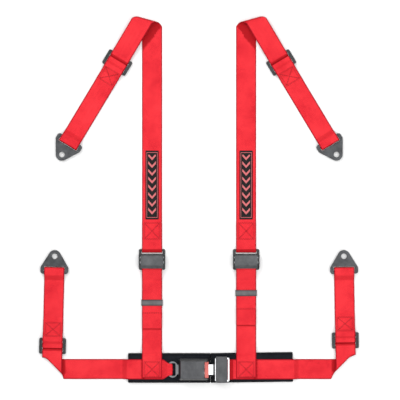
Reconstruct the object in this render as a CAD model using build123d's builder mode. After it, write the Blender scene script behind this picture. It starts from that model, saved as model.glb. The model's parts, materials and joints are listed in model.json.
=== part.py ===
"""A four-point, bolt-in racing harness of 2 inch webbing, laid out flat on its back.

Millimetres, +Z up. X runs across the harness and Y from the lap belt up to the shoulders. The origin lies
on the surface under the harness, at the middle of the rectangle that it covers. Left and right are as seen
from above.
"""

import os
from math import cos, radians, sin, tan

from build123d import *

os.makedirs("parts", exist_ok=True)
UP = Vector(0, 0, 1)
SIDES = {"left": -1, "right": 1}

# ---- Webbing ----
WEB_WIDTH = 50.0  # 2 inch harness webbing
WEB = 1.4  # its thickness
LAY = 0.2  # air between two layers that lie on each other
BODY_GAP = 0.3  # air between pieces that move apart
LIFT = WEB + LAY  # what each layer adds to a stack
FLAT_BEND = WEB + 0.05  # outside radii of the webbing's bends: folded flat on itself,
TIGHT_BEND = WEB + 0.2  # round a slide's bar,
BEND = WEB + 0.4  # at an ordinary step,
LOOP_BEND = WEB + 1.0  # and round the bar of a frame

# ---- Layout ----
LAP_Y = -425.0  # centre line of the lap belt
SHOULDER_X = {"left": -116.0, "right": 119.0}  # centre line of each shoulder strap
ADJUSTER_Y = -151.0
KEEPER_Y = {"left": -259.0, "right": -235.0}
HEM_TOP_Y = {"left": -280.0, "right": -270.0}  # where the pull tail's hem is stitched
TAIL_END_Y = {"left": -324.0, "right": -315.0}

# Each strap end runs from its fold, through a three-bar slide, to the bolt hole of its anchor tab.
HOLE = {
    "left_shoulder": (-341.0, 111.0),
    "right_shoulder": (344.5, 111.0),
    "left_lap": (-359.0, -143.0),
    "right_lap": (363.0, -143.0),
}
HEADING = {"left_shoulder": 239.0, "right_shoulder": 301.0, "left_lap": 88.6, "right_lap": 91.0}
FOLD_AT = {  # a point on each fold's axis, seen from above
    "left_shoulder": (-128.0, 441.3),
    "right_shoulder": (131.0, 441.3),
    "left_lap": (-358.5, -413.3),
    "right_lap": (356.0, -410.3),
}
FOLD_RADIUS = {"shoulder": 7.5, "lap": 4.4}  # outside of the fold
SLIDE_FROM_CORNER = {  # from the inner corner of each fold to the middle of its slide
    "left_shoulder": 114.4,
    "right_shoulder": 114.6,
    "left_lap": 14.9,
    "right_lap": 21.1,
}

# ---- Pads ----
PAD_THICK = 6.0
PAD_WIDTH = 74.0
PAD_Y = -422.0
PAD_LENGTH = 205.5
PAD_MEET_X = 30.0  # the two pads meet under the buckle's mouth
PAD_GAP = 0.8
PAD_CORNER = 4.0
ON_PAD = PAD_THICK + LAY  # underside of what lies on a pad

# ---- Labels ----
LABEL_SIZE = (33.0, 172.0)
LABEL_THICK = 1.0
LABEL_TOP_Y = 121.0

# ---- Anchor tabs ----
TAB_THICK = 3.0
TAB_HOLE_R = 7.0  # takes the shoulder of a seat belt bolt
TAB_TIP_R = 15.5
TAB_POST = 8.0  # steel beside the slot
TAB_CORNER_R = 7.0
TAB_SHOULDER = 30.0  # from the hole to where the tab reaches its full width
TAB_SLOT = (25.5, 37.5)  # from the hole to the slot's two sides
TAB_SLOT_WIDTH = WEB_WIDTH + 4
TAB_WIDTH = TAB_SLOT_WIDTH + 2 * TAB_POST
TAB_END = 44.0
TAB_AXIS = (TAB_SLOT[1] + TAB_END) / 2  # the tab swings about the middle of its bar
TAB_SWING_R = 3.75  # inside of the webbing's loop, which the bar turns in
TAB_Z = WEB + TAB_SWING_R - TAB_THICK / 2
TAB_CROWN = 27.0  # from the hole to the outside of the webbing's loop

# ---- Three-bar slides ----
SLIDE_LENGTH = 40.0
SLIDE_POST = 7.0  # steel beside the slots
SLIDE_SLOT_WIDTH = WEB_WIDTH + 3
SLIDE_WIDTH = SLIDE_SLOT_WIDTH + 2 * SLIDE_POST
SLIDE_THICK = 2.5
OUTER_BAR = 6.0
CENTRE_BAR = 8.0
SLIDE_SLOT = (SLIDE_LENGTH - 2 * OUTER_BAR - CENTRE_BAR) / 2
SLIDE_Z = 2 * LIFT  # two layers of webbing pass under the centre bar
OVER_BARS = SLIDE_Z + SLIDE_THICK + LAY
SEWN_TAIL = 42.0  # how far the sewn end reaches past the slide

# ---- Shoulder adjusters, measured from ADJUSTER_Y ----
ADJ_LENGTH = 52.0
SHEET = 2.0  # sheet steel
ADJ_Z = LIFT  # underside of the frame's floor
CHEEK = 3.0
CHEEK_GAP = 5.0  # between the webbing and a cheek
ADJ_WIDTH = WEB_WIDTH + 2 * (CHEEK_GAP + CHEEK)
CHEEK_SPAN = (-20.0, 12.0)
CHEEK_TOP = 14.5
LOOP_BAR_Y = 20.5  # near side of the bar that carries the shoulder strap
LOOP_SLOT_Y = 14.0
TURN_BAR_R = 3.0
TURN_BAR_Y = -7.0
RISER_IN_Z = ADJ_Z + SHEET + LAY
TURN_BAR_Z = RISER_IN_Z + WEB + LAY + TURN_BAR_R
TAIL_OUT_Z = TURN_BAR_Z + TURN_BAR_R + LAY + WEB  # top of the webbing over the turn bar
PIN_R = 2.0
PIN_FIT = 0.03
LEVER_PIN_Y = 5.0
LEVER_PIN_Z = TURN_BAR_Z + 1.5
LEVER_Z = TAIL_OUT_Z + BODY_GAP
LEVER_SPAN = (-22.0, 10.5)
LEVER_WIDTH = ADJ_WIDTH - 2 * CHEEK - 3
LEVER_EAR = 2.5
LIP = (5.0, 1.6)  # length and height of the lever's lip

# ---- Keepers ----
KEEPER_WALL = 1.2
KEEPER_LENGTH = 15.0
KEEPER_SIDE_GAP = 0.6
RISER_Z = KEEPER_WALL + LAY  # underside of the strap that the keeper goes round

# ---- Buckle ----
BLADE_WIDTH = 26.0
FRAME_HALF = BLADE_WIDTH / 2 + 5  # inside of the frame's walls
BUTTON_HALF = FRAME_HALF + SHEET
BUCKLE_X = (-50.0, 26.0)
BUCKLE_WIDTH = 2 * (BUTTON_HALF + 7)
BUCKLE_CORNER = 6.0
COVER_SPLIT_Z = 13.0
COVER_TOP_Z = 27.0
COVER_TAPER = 22.0
COVER_WALL = 2.0
FRAME_Z = 10.2
FRAME_X = (-46.0, 24.0)
FRAME_WALL_X = (-40.0, 9.5)
FRAME_TOP_Z = 22.0
BLADE_Z = FRAME_Z + SHEET + BODY_GAP
BLADE_THICK = 2.5
BLADE_TIP_X = -12.0
WINDOW_X = (-6.0, 5.0)
WINDOW_WIDTH = 16.0
BUTTON_X = (15.0, 25.0)
BUTTON_Z = (16.0, 24.6)
BUTTON_GAP = 0.4
NOSE_X = 6.0
NOSE_Z = (16.2, 17.2)
PAWL_PIN = (-30.0, 19.0)  # X and Z of the pawl's pivot
PAWL_PIN_R = 1.5
PAWL_Z = (17.5, 20.5)
PAWL_HALF = 7.0
TOOTH_X = (-4.0, 1.0)
EJECTOR_X = (-24.0, BLADE_TIP_X - BODY_GAP)
EJECTOR_HALF = 10.0
RING_HALF = 20.0
RING_X = (-76.0, -53.0)
RING_WALL = 4.0
RING_CORNER = 12.0
ANCHOR_BAR = (RING_X[0], -68.0)
NECK_HALF = 12.0
GATHERED = 30.0  # the lap belt is gathered to this width round the anchor bar

# ---- Tongue ----
TONGUE_X = (41.2, 77.0)
TONGUE_POST = 4.0  # steel beside the slots
TONGUE_SLOT_WIDTH = WEB_WIDTH + 2
TONGUE_WIDTH = TONGUE_SLOT_WIDTH + 2 * TONGUE_POST
FRONT_SLOT = (46.0, 55.0)
REAR_SLOT = (63.0, 73.0)
GRIP_X = (43.0, 71.5)
GRIP_WIDTH = TONGUE_WIDTH + 5
GRIP_TOP_Z = 22.0
GRIP_WALL = 1.3

# ---- Springs ----
SPRING_WIRE = 0.35


def save(piece, name):
    """Labels a finished piece and writes its STEP file."""
    piece.part.label = name
    export_step(piece.part, f"parts/{name}.step")
    print(f"{name}: {piece.part.volume / 1000:.2f} cm3")


def heading_vector(heading):
    return Vector(cos(radians(heading)), sin(radians(heading)), 0)


def run_plane(point, heading):
    """The upright plane along a strap's centre line: local X runs along the strap, local Y is up."""
    along = heading_vector(heading)
    return Plane(origin=(point[0], point[1], 0), x_dir=along, z_dir=along.cross(UP))


def raised(points, height):
    """The points of a layer that lies height above a strap whose underside goes through the given points.

    Every corner keeps the same square distance from both of its runs, so the two layers stay parallel."""
    moved = []
    for i, point in enumerate(points):
        here = Vector(*point)
        before = (here - Vector(*points[i - 1])).normalized() if i else None
        after = (Vector(*points[i + 1]) - here).normalized() if i + 1 < len(points) else None
        first, second = before or after, after or before
        normal = (Vector(-first.Y, first.X) + Vector(-second.Y, second.X)).normalized()
        reach = height / normal.dot(Vector(-first.Y, first.X))
        moved.append((here.X + normal.X * reach, here.Y + normal.Y * reach))
    return moved


def web_section(plane, points):
    """Webbing seen from its side: its right face follows the points, and it is WEB thick to the left.

    A point may carry the radius of its own bend as a third number. Both faces bend round one centre."""
    corners = [point[:2] for point in points]
    right_bends, left_bends = [], []
    for before, point, after in zip(points, points[1:], points[2:]):
        radius = point[2] if len(point) == 3 else BEND
        first = Vector(*point[:2]) - Vector(*before[:2])
        second = Vector(*after[:2]) - Vector(*point[:2])
        turn = first.cross(second).Z
        right_bends.append(radius)
        left_bends.append(radius - WEB if turn > 0 else radius + WEB)
    left_corners = raised(corners, WEB)
    with BuildSketch(plane) as section:
        with BuildLine():
            FilletPolyline(*corners, radius=right_bends)
            FilletPolyline(*left_corners, radius=left_bends)
            Line(corners[0], left_corners[0])
            Line(corners[-1], left_corners[-1])
        make_face()
    return section.sketch


def make_web(plane, points, width=WEB_WIDTH):
    with BuildPart() as webbing:
        extrude(web_section(plane, points), amount=width / 2, both=True)
    return webbing


def crossing(point, heading, axis_point, axis_direction):
    """Where a strap's centre line, seen from above, crosses a fold's axis."""
    along = heading_vector(heading)
    to_axis = Vector(axis_point[0] - point[0], axis_point[1] - point[1])
    across = Vector(-axis_direction.Y, axis_direction.X)
    travel = to_axis.dot(across) / along.dot(across)
    return Vector(point[0] + along.X * travel, point[1] + along.Y * travel)


class Fold:
    """A strap turned over on itself round a level axis, from one heading to another."""

    def __init__(self, end):
        side, place = end.split("_")
        self.radius = FOLD_RADIUS[place]
        self.heading_in = 90.0 if place == "shoulder" else 180.0 if side == "left" else 0.0
        self.heading_out = HEADING[end]
        start = (SHOULDER_X[side], 0) if place == "shoulder" else (0, LAP_Y)
        self.outward = (heading_vector(self.heading_in) - heading_vector(self.heading_out)).normalized()
        self.axis = UP.cross(self.outward)
        self.entry = crossing(start, self.heading_in, FOLD_AT[end], self.axis)
        self.exit = crossing(HOLE[end], self.heading_out, FOLD_AT[end], self.axis)
        self.length = Vector(HOLE[end][0] - self.exit.X, HOLE[end][1] - self.exit.Y).length
        self.skew = self.outward.get_angle(heading_vector(self.heading_in))
        self.corner = WEB_WIDTH / 2 * tan(radians(self.skew))
        self.slide = self.corner + SLIDE_FROM_CORNER[end]

    def trim_plane(self):
        """The upright plane on the axis, facing outwards."""
        return Plane(origin=self.entry, x_dir=self.axis, z_dir=self.outward)


FOLDS = {end: Fold(end) for end in HOLE}


def make_fold(end):
    """The turned-over stretch: slices parallel to the axis, carried half way round it."""
    fold = FOLDS[end]
    middle_radius = fold.radius - WEB / 2
    slices = 9
    with BuildPart() as turn:
        for i in range(slices):
            share = i / (slices - 1)
            angle = radians(-90 + 180 * share)
            centre = fold.entry + (fold.exit - fold.entry) * share
            centre += fold.outward * (middle_radius * cos(angle))
            centre += UP * (fold.radius + middle_radius * sin(angle))
            tangent = fold.outward * -sin(angle) + UP * cos(angle)
            with BuildSketch(Plane(origin=centre, x_dir=fold.axis, z_dir=tangent)):
                Rectangle(WEB_WIDTH / cos(radians(fold.skew)), WEB)
        loft()
    save(turn, f"{end}_fold")


# ---- Strap ends: webbing, slide and anchor tab ----


def make_end_webbing(end):
    """From the fold, through the slide's bars, round the tab's bar, and back to be sewn round the slide."""
    fold = FOLDS[end]
    plane = run_plane((fold.exit.X, fold.exit.Y), fold.heading_out)
    slide = fold.slide
    half = SLIDE_LENGTH / 2
    inner = CENTRE_BAR / 2
    under = [
        (slide - half - 1, OVER_BARS),
        (slide - inner - SLIDE_SLOT + 0.5, OVER_BARS),
        (slide - inner - 1.5, 0),
        (slide + inner + 1.5, 0),
        (slide + inner + SLIDE_SLOT - 0.5, OVER_BARS),
        (slide + half + 1, OVER_BARS),
        (slide + half + 16, 0),
    ]
    start = -fold.corner - 2
    fold_top = 2 * fold.radius - WEB
    outgoing = [(start, fold_top)]
    if end.endswith("shoulder"):
        outgoing.append((6, fold_top))
    crown = fold.length - TAB_CROWN
    loop_top = 2 * (TAB_SWING_R + WEB)
    loop_bend = TAB_SWING_R + WEB - 0.05
    loop_foot = fold.length - TAB_AXIS - TAB_SWING_R - 2
    pair_top = LIFT + WEB
    tail_end = slide + half + SEWN_TAIL
    bar_top = OVER_BARS + WEB
    wrap = slide - inner - LAY - WEB
    over = raised([*under[3:], (loop_foot, 0)], 2 * LIFT + WEB)
    between = raised([*under[2:], (loop_foot, 0)], LIFT)
    points = [
        *outgoing,
        *under,
        (crown, 0, loop_bend),
        (crown, loop_top, loop_bend),
        (loop_foot, loop_top, 3),
        (loop_foot - 14, pair_top, 3),
        (tail_end + 8, pair_top),
        (tail_end, over[3][1]),
        *over[3:0:-1],
        (slide + inner + 1, bar_top),
        (wrap, bar_top, TIGHT_BEND),
        (wrap, LIFT, TIGHT_BEND),
        *between[1:5],
        (tail_end - 2, LIFT),
    ]
    with BuildPart() as webbing:
        extrude(web_section(plane, points), amount=WEB_WIDTH / 2, both=True)
        split(bisect_by=fold.trim_plane(), keep=Keep.BOTTOM)
    save(webbing, f"{end}_end_webbing")


def make_slide(end):
    fold = FOLDS[end]
    along = heading_vector(fold.heading_out)
    middle = fold.exit + along * fold.slide
    level = Plane(origin=(middle.X, middle.Y, SLIDE_Z), x_dir=along, z_dir=(0, 0, 1))
    with BuildPart() as slide:
        with BuildSketch(level):
            RectangleRounded(SLIDE_LENGTH, SLIDE_WIDTH, 4)
            with GridLocations(CENTRE_BAR + SLIDE_SLOT, 1, 2, 1):
                RectangleRounded(SLIDE_SLOT, SLIDE_SLOT_WIDTH, 1.5, mode=Mode.SUBTRACT)
        extrude(amount=SLIDE_THICK)
        fillet(slide.edges().group_by(Axis.Z)[0] + slide.edges().group_by(Axis.Z)[-1], 0.6)
    save(slide, f"{end}_slide")


def make_tab(end):
    """A triangular steel plate with a bolt hole at its tip and a slot for the webbing."""
    level = Plane(
        origin=(HOLE[end][0], HOLE[end][1], TAB_Z), x_dir=heading_vector(HEADING[end] + 180), z_dir=(0, 0, 1)
    )
    corner = TAB_WIDTH / 2 - TAB_CORNER_R
    with BuildPart() as tab:
        with BuildSketch(level):
            with BuildLine():
                CenterArc((0, 0), TAB_TIP_R, 0, 360)
                for x in (TAB_SHOULDER, TAB_END - TAB_CORNER_R):
                    for y in (-corner, corner):
                        CenterArc((x, y), TAB_CORNER_R, 0, 360)
            make_hull()
            with Locations((sum(TAB_SLOT) / 2, 0)):
                RectangleRounded(TAB_SLOT[1] - TAB_SLOT[0], TAB_SLOT_WIDTH, 2, mode=Mode.SUBTRACT)
        extrude(amount=TAB_THICK)
        fillet(tab.edges().group_by(Axis.Z)[0] + tab.edges().group_by(Axis.Z)[-1], 0.6)
        with Locations(level):
            Hole(TAB_HOLE_R)
    save(tab, f"{end}_anchor_tab")


# ---- Lap belts and pads ----


def make_lap_webbing(side, bar_points, gather_from, gather_to, width):
    """A lap belt from its fold, up onto the pad, through the buckle or tongue, and back over itself.

    Distances run along the belt towards the buckle. The belt is gathered to a width between two places."""
    fold = FOLDS[f"{side}_lap"]
    sign = SIDES[side]
    pad_end = PAD_MEET_X * -sign - PAD_GAP / 2 - PAD_LENGTH
    sewn_end = -SHOULDER_X[side] * sign - 20
    second_top = ON_PAD + LIFT + WEB
    points = [
        (fold.entry.X * -sign - 30, 0),
        (pad_end - 14, 0),
        (pad_end - 2, ON_PAD),
        *bar_points,
        (sewn_end, second_top),
    ]
    full = WEB_WIDTH / 2
    start = fold.entry.X * -sign - 40
    outline = [
        (start, full),
        (gather_from, full),
        (gather_to, width / 2),
        (gather_to + 60, width / 2),
        (gather_to + 60, -width / 2),
        (gather_to, -width / 2),
        (gather_from, -full),
        (start, -full),
    ]
    plane = run_plane((0, LAP_Y), 0 if side == "left" else 180)
    level = Plane(origin=(0, LAP_Y, 0), x_dir=plane.x_dir, z_dir=(0, 0, 1))
    with BuildPart() as belt:
        extrude(web_section(plane, points), amount=full, both=True)
        with BuildSketch(level.offset(-1)):
            Polygon(*outline, align=None)
        extrude(amount=40, mode=Mode.INTERSECT)
        split(bisect_by=fold.trim_plane(), keep=Keep.BOTTOM)
    save(belt, f"{side}_lap_webbing")


def make_lap_belts():
    under = FRAME_Z - LAY
    over = FRAME_Z + SHEET + LAY + WEB
    crown = ANCHOR_BAR[1] + 3.6
    riser_edge = SHOULDER_X["left"] + WEB_WIDTH / 2
    anchor = [
        (riser_edge + 1, ON_PAD),
        (ANCHOR_BAR[0] - 3, under - WEB),
        (crown, under - WEB, LOOP_BEND),
        (crown, over, LOOP_BEND),
        (ANCHOR_BAR[0] - WEB, over),
        (riser_edge + 1, ON_PAD + LIFT + WEB),
    ]
    make_lap_webbing("left", anchor, riser_edge, crown - 4, GATHERED)
    below = BLADE_Z - LIFT - LAY - WEB
    above = BLADE_Z + BLADE_THICK + LAY + WEB
    crown = -FRONT_SLOT[1] + 3.6
    slot = -sum(REAR_SLOT) / 2
    riser_edge = SHOULDER_X["right"] - WEB_WIDTH / 2
    tongue = [
        (4 - riser_edge, ON_PAD),
        (-TONGUE_X[1] - 2, below),
        (crown, below, 3),
        (crown, above, 3),
        (-REAR_SLOT[0] - 0.2, above),
        (-REAR_SLOT[1] + 1.4, below + LIFT + WEB),
        (-TONGUE_X[1] - 2.6, below + LIFT + WEB),
        (3.4 - riser_edge, ON_PAD + LIFT + WEB),
    ]
    make_lap_webbing("right", tongue, slot, slot + 1, WEB_WIDTH)


def make_pad(side):
    """A flat foam pad in a fabric cover, which keeps the buckle off the driver's lap."""
    centre = PAD_MEET_X + SIDES[side] * (PAD_GAP + PAD_LENGTH) / 2
    with BuildPart() as pad:
        with BuildSketch(Plane(origin=(centre, PAD_Y, 0), z_dir=(0, 0, 1))):
            RectangleRounded(PAD_LENGTH, PAD_WIDTH, PAD_CORNER)
        extrude(amount=PAD_THICK)
        fillet(pad.edges().group_by(Axis.Z)[-1], 1.5)
    save(pad, f"{side}_pad")


# ---- Shoulder straps, risers, labels and keepers ----


def make_shoulder_webbing(side):
    """The shoulder strap from its fold down to the adjuster, where it is sewn round the loop bar."""
    fold = FOLDS[f"{side}_shoulder"]
    crown = ADJUSTER_Y + LOOP_BAR_Y - 3.6
    over_bar = ADJ_Z + SHEET + LAY + WEB
    tail_end = LABEL_TOP_Y - LABEL_SIZE[1] - 4
    points = [
        (fold.entry.Y + 40, WEB),
        (tail_end + 2, WEB),
        (tail_end - 6, LIFT + WEB),
        (ADJUSTER_Y + ADJ_LENGTH / 2 + 8, LIFT + WEB),
        (ADJUSTER_Y + ADJ_LENGTH / 2 + 2, over_bar),
        (crown, over_bar, LOOP_BEND),
        (crown, 0, LOOP_BEND),
        (tail_end - 8, 0),
    ]
    with BuildPart() as webbing:
        section = web_section(run_plane((SHOULDER_X[side], 0), 90), points)
        extrude(section, amount=WEB_WIDTH / 2, both=True)
        split(bisect_by=fold.trim_plane(), keep=Keep.BOTTOM)
    save(webbing, f"{side}_shoulder_webbing")


def make_riser(side):
    """The lower strap: sewn to the lap belt, up through the adjuster, and back down as the pull tail."""
    on_belt = ON_PAD + 2 * LIFT
    pad_edge = PAD_Y + PAD_WIDTH / 2
    turn = TURN_BAR_R + LAY + WEB
    tail_top = RISER_Z + LIFT + WEB
    hem_top = HEM_TOP_Y[side]
    end = TAIL_END_Y[side]
    points = [
        (LAP_Y - WEB_WIDTH / 2 + 4, on_belt),
        (LAP_Y + WEB_WIDTH / 2 + 3, on_belt),
        (pad_edge - 3, ON_PAD + 0.1),
        (pad_edge + 1, ON_PAD + 0.1),
        (pad_edge + 36, RISER_Z),
        (ADJUSTER_Y - ADJ_LENGTH / 2 - 12, RISER_Z),
        (ADJUSTER_Y - ADJ_LENGTH / 2 - 2, RISER_IN_Z),
        (ADJUSTER_Y + TURN_BAR_Y + turn, RISER_IN_Z, turn - 0.05),
        (ADJUSTER_Y + TURN_BAR_Y + turn, TAIL_OUT_Z, turn - 0.05),
        (ADJUSTER_Y + LEVER_SPAN[0] - 2, TAIL_OUT_Z),
        (ADJUSTER_Y - ADJ_LENGTH / 2 - 26, tail_top),
        (hem_top + 6, tail_top),
        (hem_top - 2, tail_top + LIFT),
        (end, tail_top + LIFT, FLAT_BEND),
        (end, tail_top - WEB, FLAT_BEND),
        (hem_top - 6, tail_top - WEB),
    ]
    save(make_web(run_plane((SHOULDER_X[side], 0), 90), points), f"{side}_riser_webbing")


def make_label(side):
    with BuildPart() as label:
        middle = (SHOULDER_X[side], LABEL_TOP_Y - LABEL_SIZE[1] / 2, WEB + 0.1)
        with BuildSketch(Plane(origin=middle, z_dir=(0, 0, 1))):
            RectangleRounded(*LABEL_SIZE, 2)
        extrude(amount=LABEL_THICK)
    save(label, f"{side}_label")


def make_keeper(side):
    """A moulded loop that holds the pull tail down on the riser."""
    hole = (WEB_WIDTH + 2 * KEEPER_SIDE_GAP, 2 * LIFT + LAY)
    middle = Vector(SHOULDER_X[side], KEEPER_Y[side], KEEPER_WALL + hole[1] / 2)
    start = Plane(origin=middle, x_dir=(1, 0, 0), z_dir=(0, 1, 0))
    with BuildPart() as keeper:
        with BuildSketch(start):
            RectangleRounded(hole[0] + 2 * KEEPER_WALL, hole[1] + 2 * KEEPER_WALL, 1.6)
            RectangleRounded(*hole, 0.5, mode=Mode.SUBTRACT)
        extrude(amount=KEEPER_LENGTH / 2, both=True)
    save(keeper, f"{side}_keeper")


# ---- Shoulder adjusters ----


def make_coil(middle, direction, radius, length, turns):
    """A coil spring of round wire with its middle at the given point."""
    start = Vector(*middle) - Vector(*direction) * (length / 2)
    with BuildPart() as coil:
        with BuildLine():
            path = Helix(length / turns, length, radius, center=start, direction=direction)
        with BuildSketch(Plane(origin=path @ 0, z_dir=path % 0)):
            Circle(SPRING_WIRE)
        sweep(path=path)
    return coil.part


def make_adjuster_frame(side):
    """A steel channel: a floor with the loop bar's slot, and a cheek on each side for bar and pin."""
    x = SHOULDER_X[side]
    floor = Plane(origin=(x, ADJUSTER_Y, ADJ_Z), z_dir=(0, 0, 1))
    mid_slot = (LOOP_SLOT_Y + LOOP_BAR_Y) / 2
    with BuildPart() as frame:
        with BuildSketch(floor):
            RectangleRounded(ADJ_WIDTH, ADJ_LENGTH, 4)
            with Locations((0, mid_slot)):
                RectangleRounded(WEB_WIDTH + 3, LOOP_BAR_Y - LOOP_SLOT_Y, 1.5, mode=Mode.SUBTRACT)
        extrude(amount=SHEET)
        with BuildSketch(Plane(origin=(x - ADJ_WIDTH / 2, ADJUSTER_Y, 0), x_dir=(0, 1, 0), z_dir=(1, 0, 0))):
            with Locations((sum(CHEEK_SPAN) / 2, (ADJ_Z + CHEEK_TOP) / 2)):
                Rectangle(CHEEK_SPAN[1] - CHEEK_SPAN[0], CHEEK_TOP - ADJ_Z)
            with Locations((TURN_BAR_Y, TURN_BAR_Z)):
                Circle(TURN_BAR_R + PIN_FIT, mode=Mode.SUBTRACT)
            with Locations((LEVER_PIN_Y, LEVER_PIN_Z)):
                Circle(PIN_R + PIN_FIT, mode=Mode.SUBTRACT)
        extrude(amount=CHEEK)
        mirror(about=Plane(origin=(x, 0, 0), z_dir=(1, 0, 0)))
        fillet(frame.edges().filter_by(Axis.X).group_by(Axis.Z)[-1], 3)
    save(frame, f"{side}_adjuster_frame")


def make_adjuster_bars(side):
    x = SHOULDER_X[side]
    for name, y, z, radius in (
        ("turn_bar", TURN_BAR_Y, TURN_BAR_Z, TURN_BAR_R),
        ("lever_pin", LEVER_PIN_Y, LEVER_PIN_Z, PIN_R),
    ):
        with BuildPart() as bar:
            with BuildSketch(Plane(origin=(x, ADJUSTER_Y + y, z), z_dir=(1, 0, 0))):
                Circle(radius)
            extrude(amount=ADJ_WIDTH / 2 + 0.6, both=True)
            chamfer(bar.edges().filter_by(GeomType.CIRCLE), 0.4)
        save(bar, f"{side}_adjuster_{name}")


def make_lever(side):
    """The release lever: a plate over the webbing, a lip to lift it by, and two ears on the pin."""
    x = SHOULDER_X[side]
    side_plane = Plane(origin=(x, ADJUSTER_Y, 0), x_dir=(0, 1, 0), z_dir=(1, 0, 0))
    top = LEVER_Z + SHEET
    half = LEVER_WIDTH / 2
    with BuildPart() as lever:
        with BuildSketch(side_plane):
            with BuildLine():
                Polyline(
                    (LEVER_SPAN[1], LEVER_Z),
                    (LEVER_SPAN[1], top),
                    (LEVER_SPAN[0] + LIP[0] + 2, top),
                    (LEVER_SPAN[0] + LIP[0], top - 1),
                    (LEVER_SPAN[0] + LIP[0] - 1, top - 1),
                    (LEVER_SPAN[0] + 1, top + LIP[1] - 1),
                    (LEVER_SPAN[0], top + LIP[1] - 1),
                    (LEVER_SPAN[0], LEVER_Z),
                    close=True,
                )
            make_face()
        extrude(amount=half, both=True)
        fillet(lever.edges().filter_by(Axis.Z), 2)
        with BuildSketch(side_plane.offset(half - LEVER_EAR)):
            with Locations((LEVER_PIN_Y, (LEVER_PIN_Z + LEVER_Z) / 2 + 0.5)):
                Rectangle(9, LEVER_Z + 1 - LEVER_PIN_Z)
            with Locations((LEVER_PIN_Y, LEVER_PIN_Z)):
                Circle(4.5)
                Circle(PIN_R + PIN_FIT, mode=Mode.SUBTRACT)
        extrude(amount=LEVER_EAR)
        mirror(about=Plane(origin=(x, 0, 0), z_dir=(1, 0, 0)))
    save(lever, f"{side}_adjuster_lever")


def make_lever_spring(side):
    """A torsion spring on the lever's pin, beside one ear."""
    middle = (SHOULDER_X[side] + LEVER_WIDTH / 2 - LEVER_EAR - 4, ADJUSTER_Y + LEVER_PIN_Y, LEVER_PIN_Z)
    with BuildPart() as spring:
        add(make_coil(middle, (1, 0, 0), PIN_R + SPRING_WIRE + 0.2, 6, 5))
    save(spring, f"{side}_lever_spring")


# ---- Buckle ----


def block(x, half_width, z, mode=Mode.ADD):
    """A box between two X values and two heights, centred on the lap belt."""
    with Locations(((x[0] + x[1]) / 2, LAP_Y, (z[0] + z[1]) / 2)):
        Box(x[1] - x[0], 2 * half_width, z[1] - z[0], mode=mode)


def buckle_outline(inset, height):
    middle = (sum(BUCKLE_X) / 2, LAP_Y, height)
    with BuildSketch(Plane(origin=middle, z_dir=(0, 0, 1))) as outline:
        size = (BUCKLE_X[1] - BUCKLE_X[0] - 2 * inset, BUCKLE_WIDTH - 2 * inset)
        RectangleRounded(*size, BUCKLE_CORNER - inset)
    return outline.sketch


def make_buckle_shells():
    floor = ON_PAD + COVER_WALL
    inside_x = (BUCKLE_X[0] + COVER_WALL, BUCKLE_X[1] + 1)
    with BuildPart() as base:
        extrude(buckle_outline(0, ON_PAD), amount=COVER_SPLIT_Z - ON_PAD)
        fillet(base.edges().group_by(Axis.Z)[0], 1)
        extrude(buckle_outline(COVER_WALL, floor), amount=COVER_SPLIT_Z, mode=Mode.SUBTRACT)
        neck = (BUCKLE_X[0] - 1, inside_x[0] + 1)
        block(neck, NECK_HALF + 0.5, (FRAME_Z - 0.2, COVER_SPLIT_Z), mode=Mode.SUBTRACT)
        mouth = (BUCKLE_X[1] - COVER_WALL - 1, BUCKLE_X[1] + 1)
        block(mouth, BLADE_WIDTH / 2 + 1, (FRAME_Z + SHEET, COVER_SPLIT_Z), mode=Mode.SUBTRACT)
        ledge = (BUCKLE_X[0] + COVER_WALL + 4, BUCKLE_X[1] - COVER_WALL - 4)
        block(ledge, 6, (floor - 0.5, FRAME_Z))
    save(base, "buckle_base")

    with BuildPart() as cover:
        extrude(buckle_outline(0, COVER_SPLIT_Z), amount=COVER_TOP_Z - COVER_SPLIT_Z, taper=COVER_TAPER)
        fillet(cover.edges().group_by(Axis.Z)[-1], 1.5)
        height = COVER_TOP_Z - COVER_SPLIT_Z - COVER_WALL
        extrude(
            buckle_outline(COVER_WALL, COVER_SPLIT_Z), amount=height, taper=COVER_TAPER, mode=Mode.SUBTRACT
        )
        opening = (BUTTON_X[0] - BUTTON_GAP, BUCKLE_X[1] + 1)
        block(opening, BUTTON_HALF + BUTTON_GAP, (COVER_SPLIT_Z, COVER_TOP_Z + 1), mode=Mode.SUBTRACT)
    save(cover, "buckle_cover")


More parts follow.
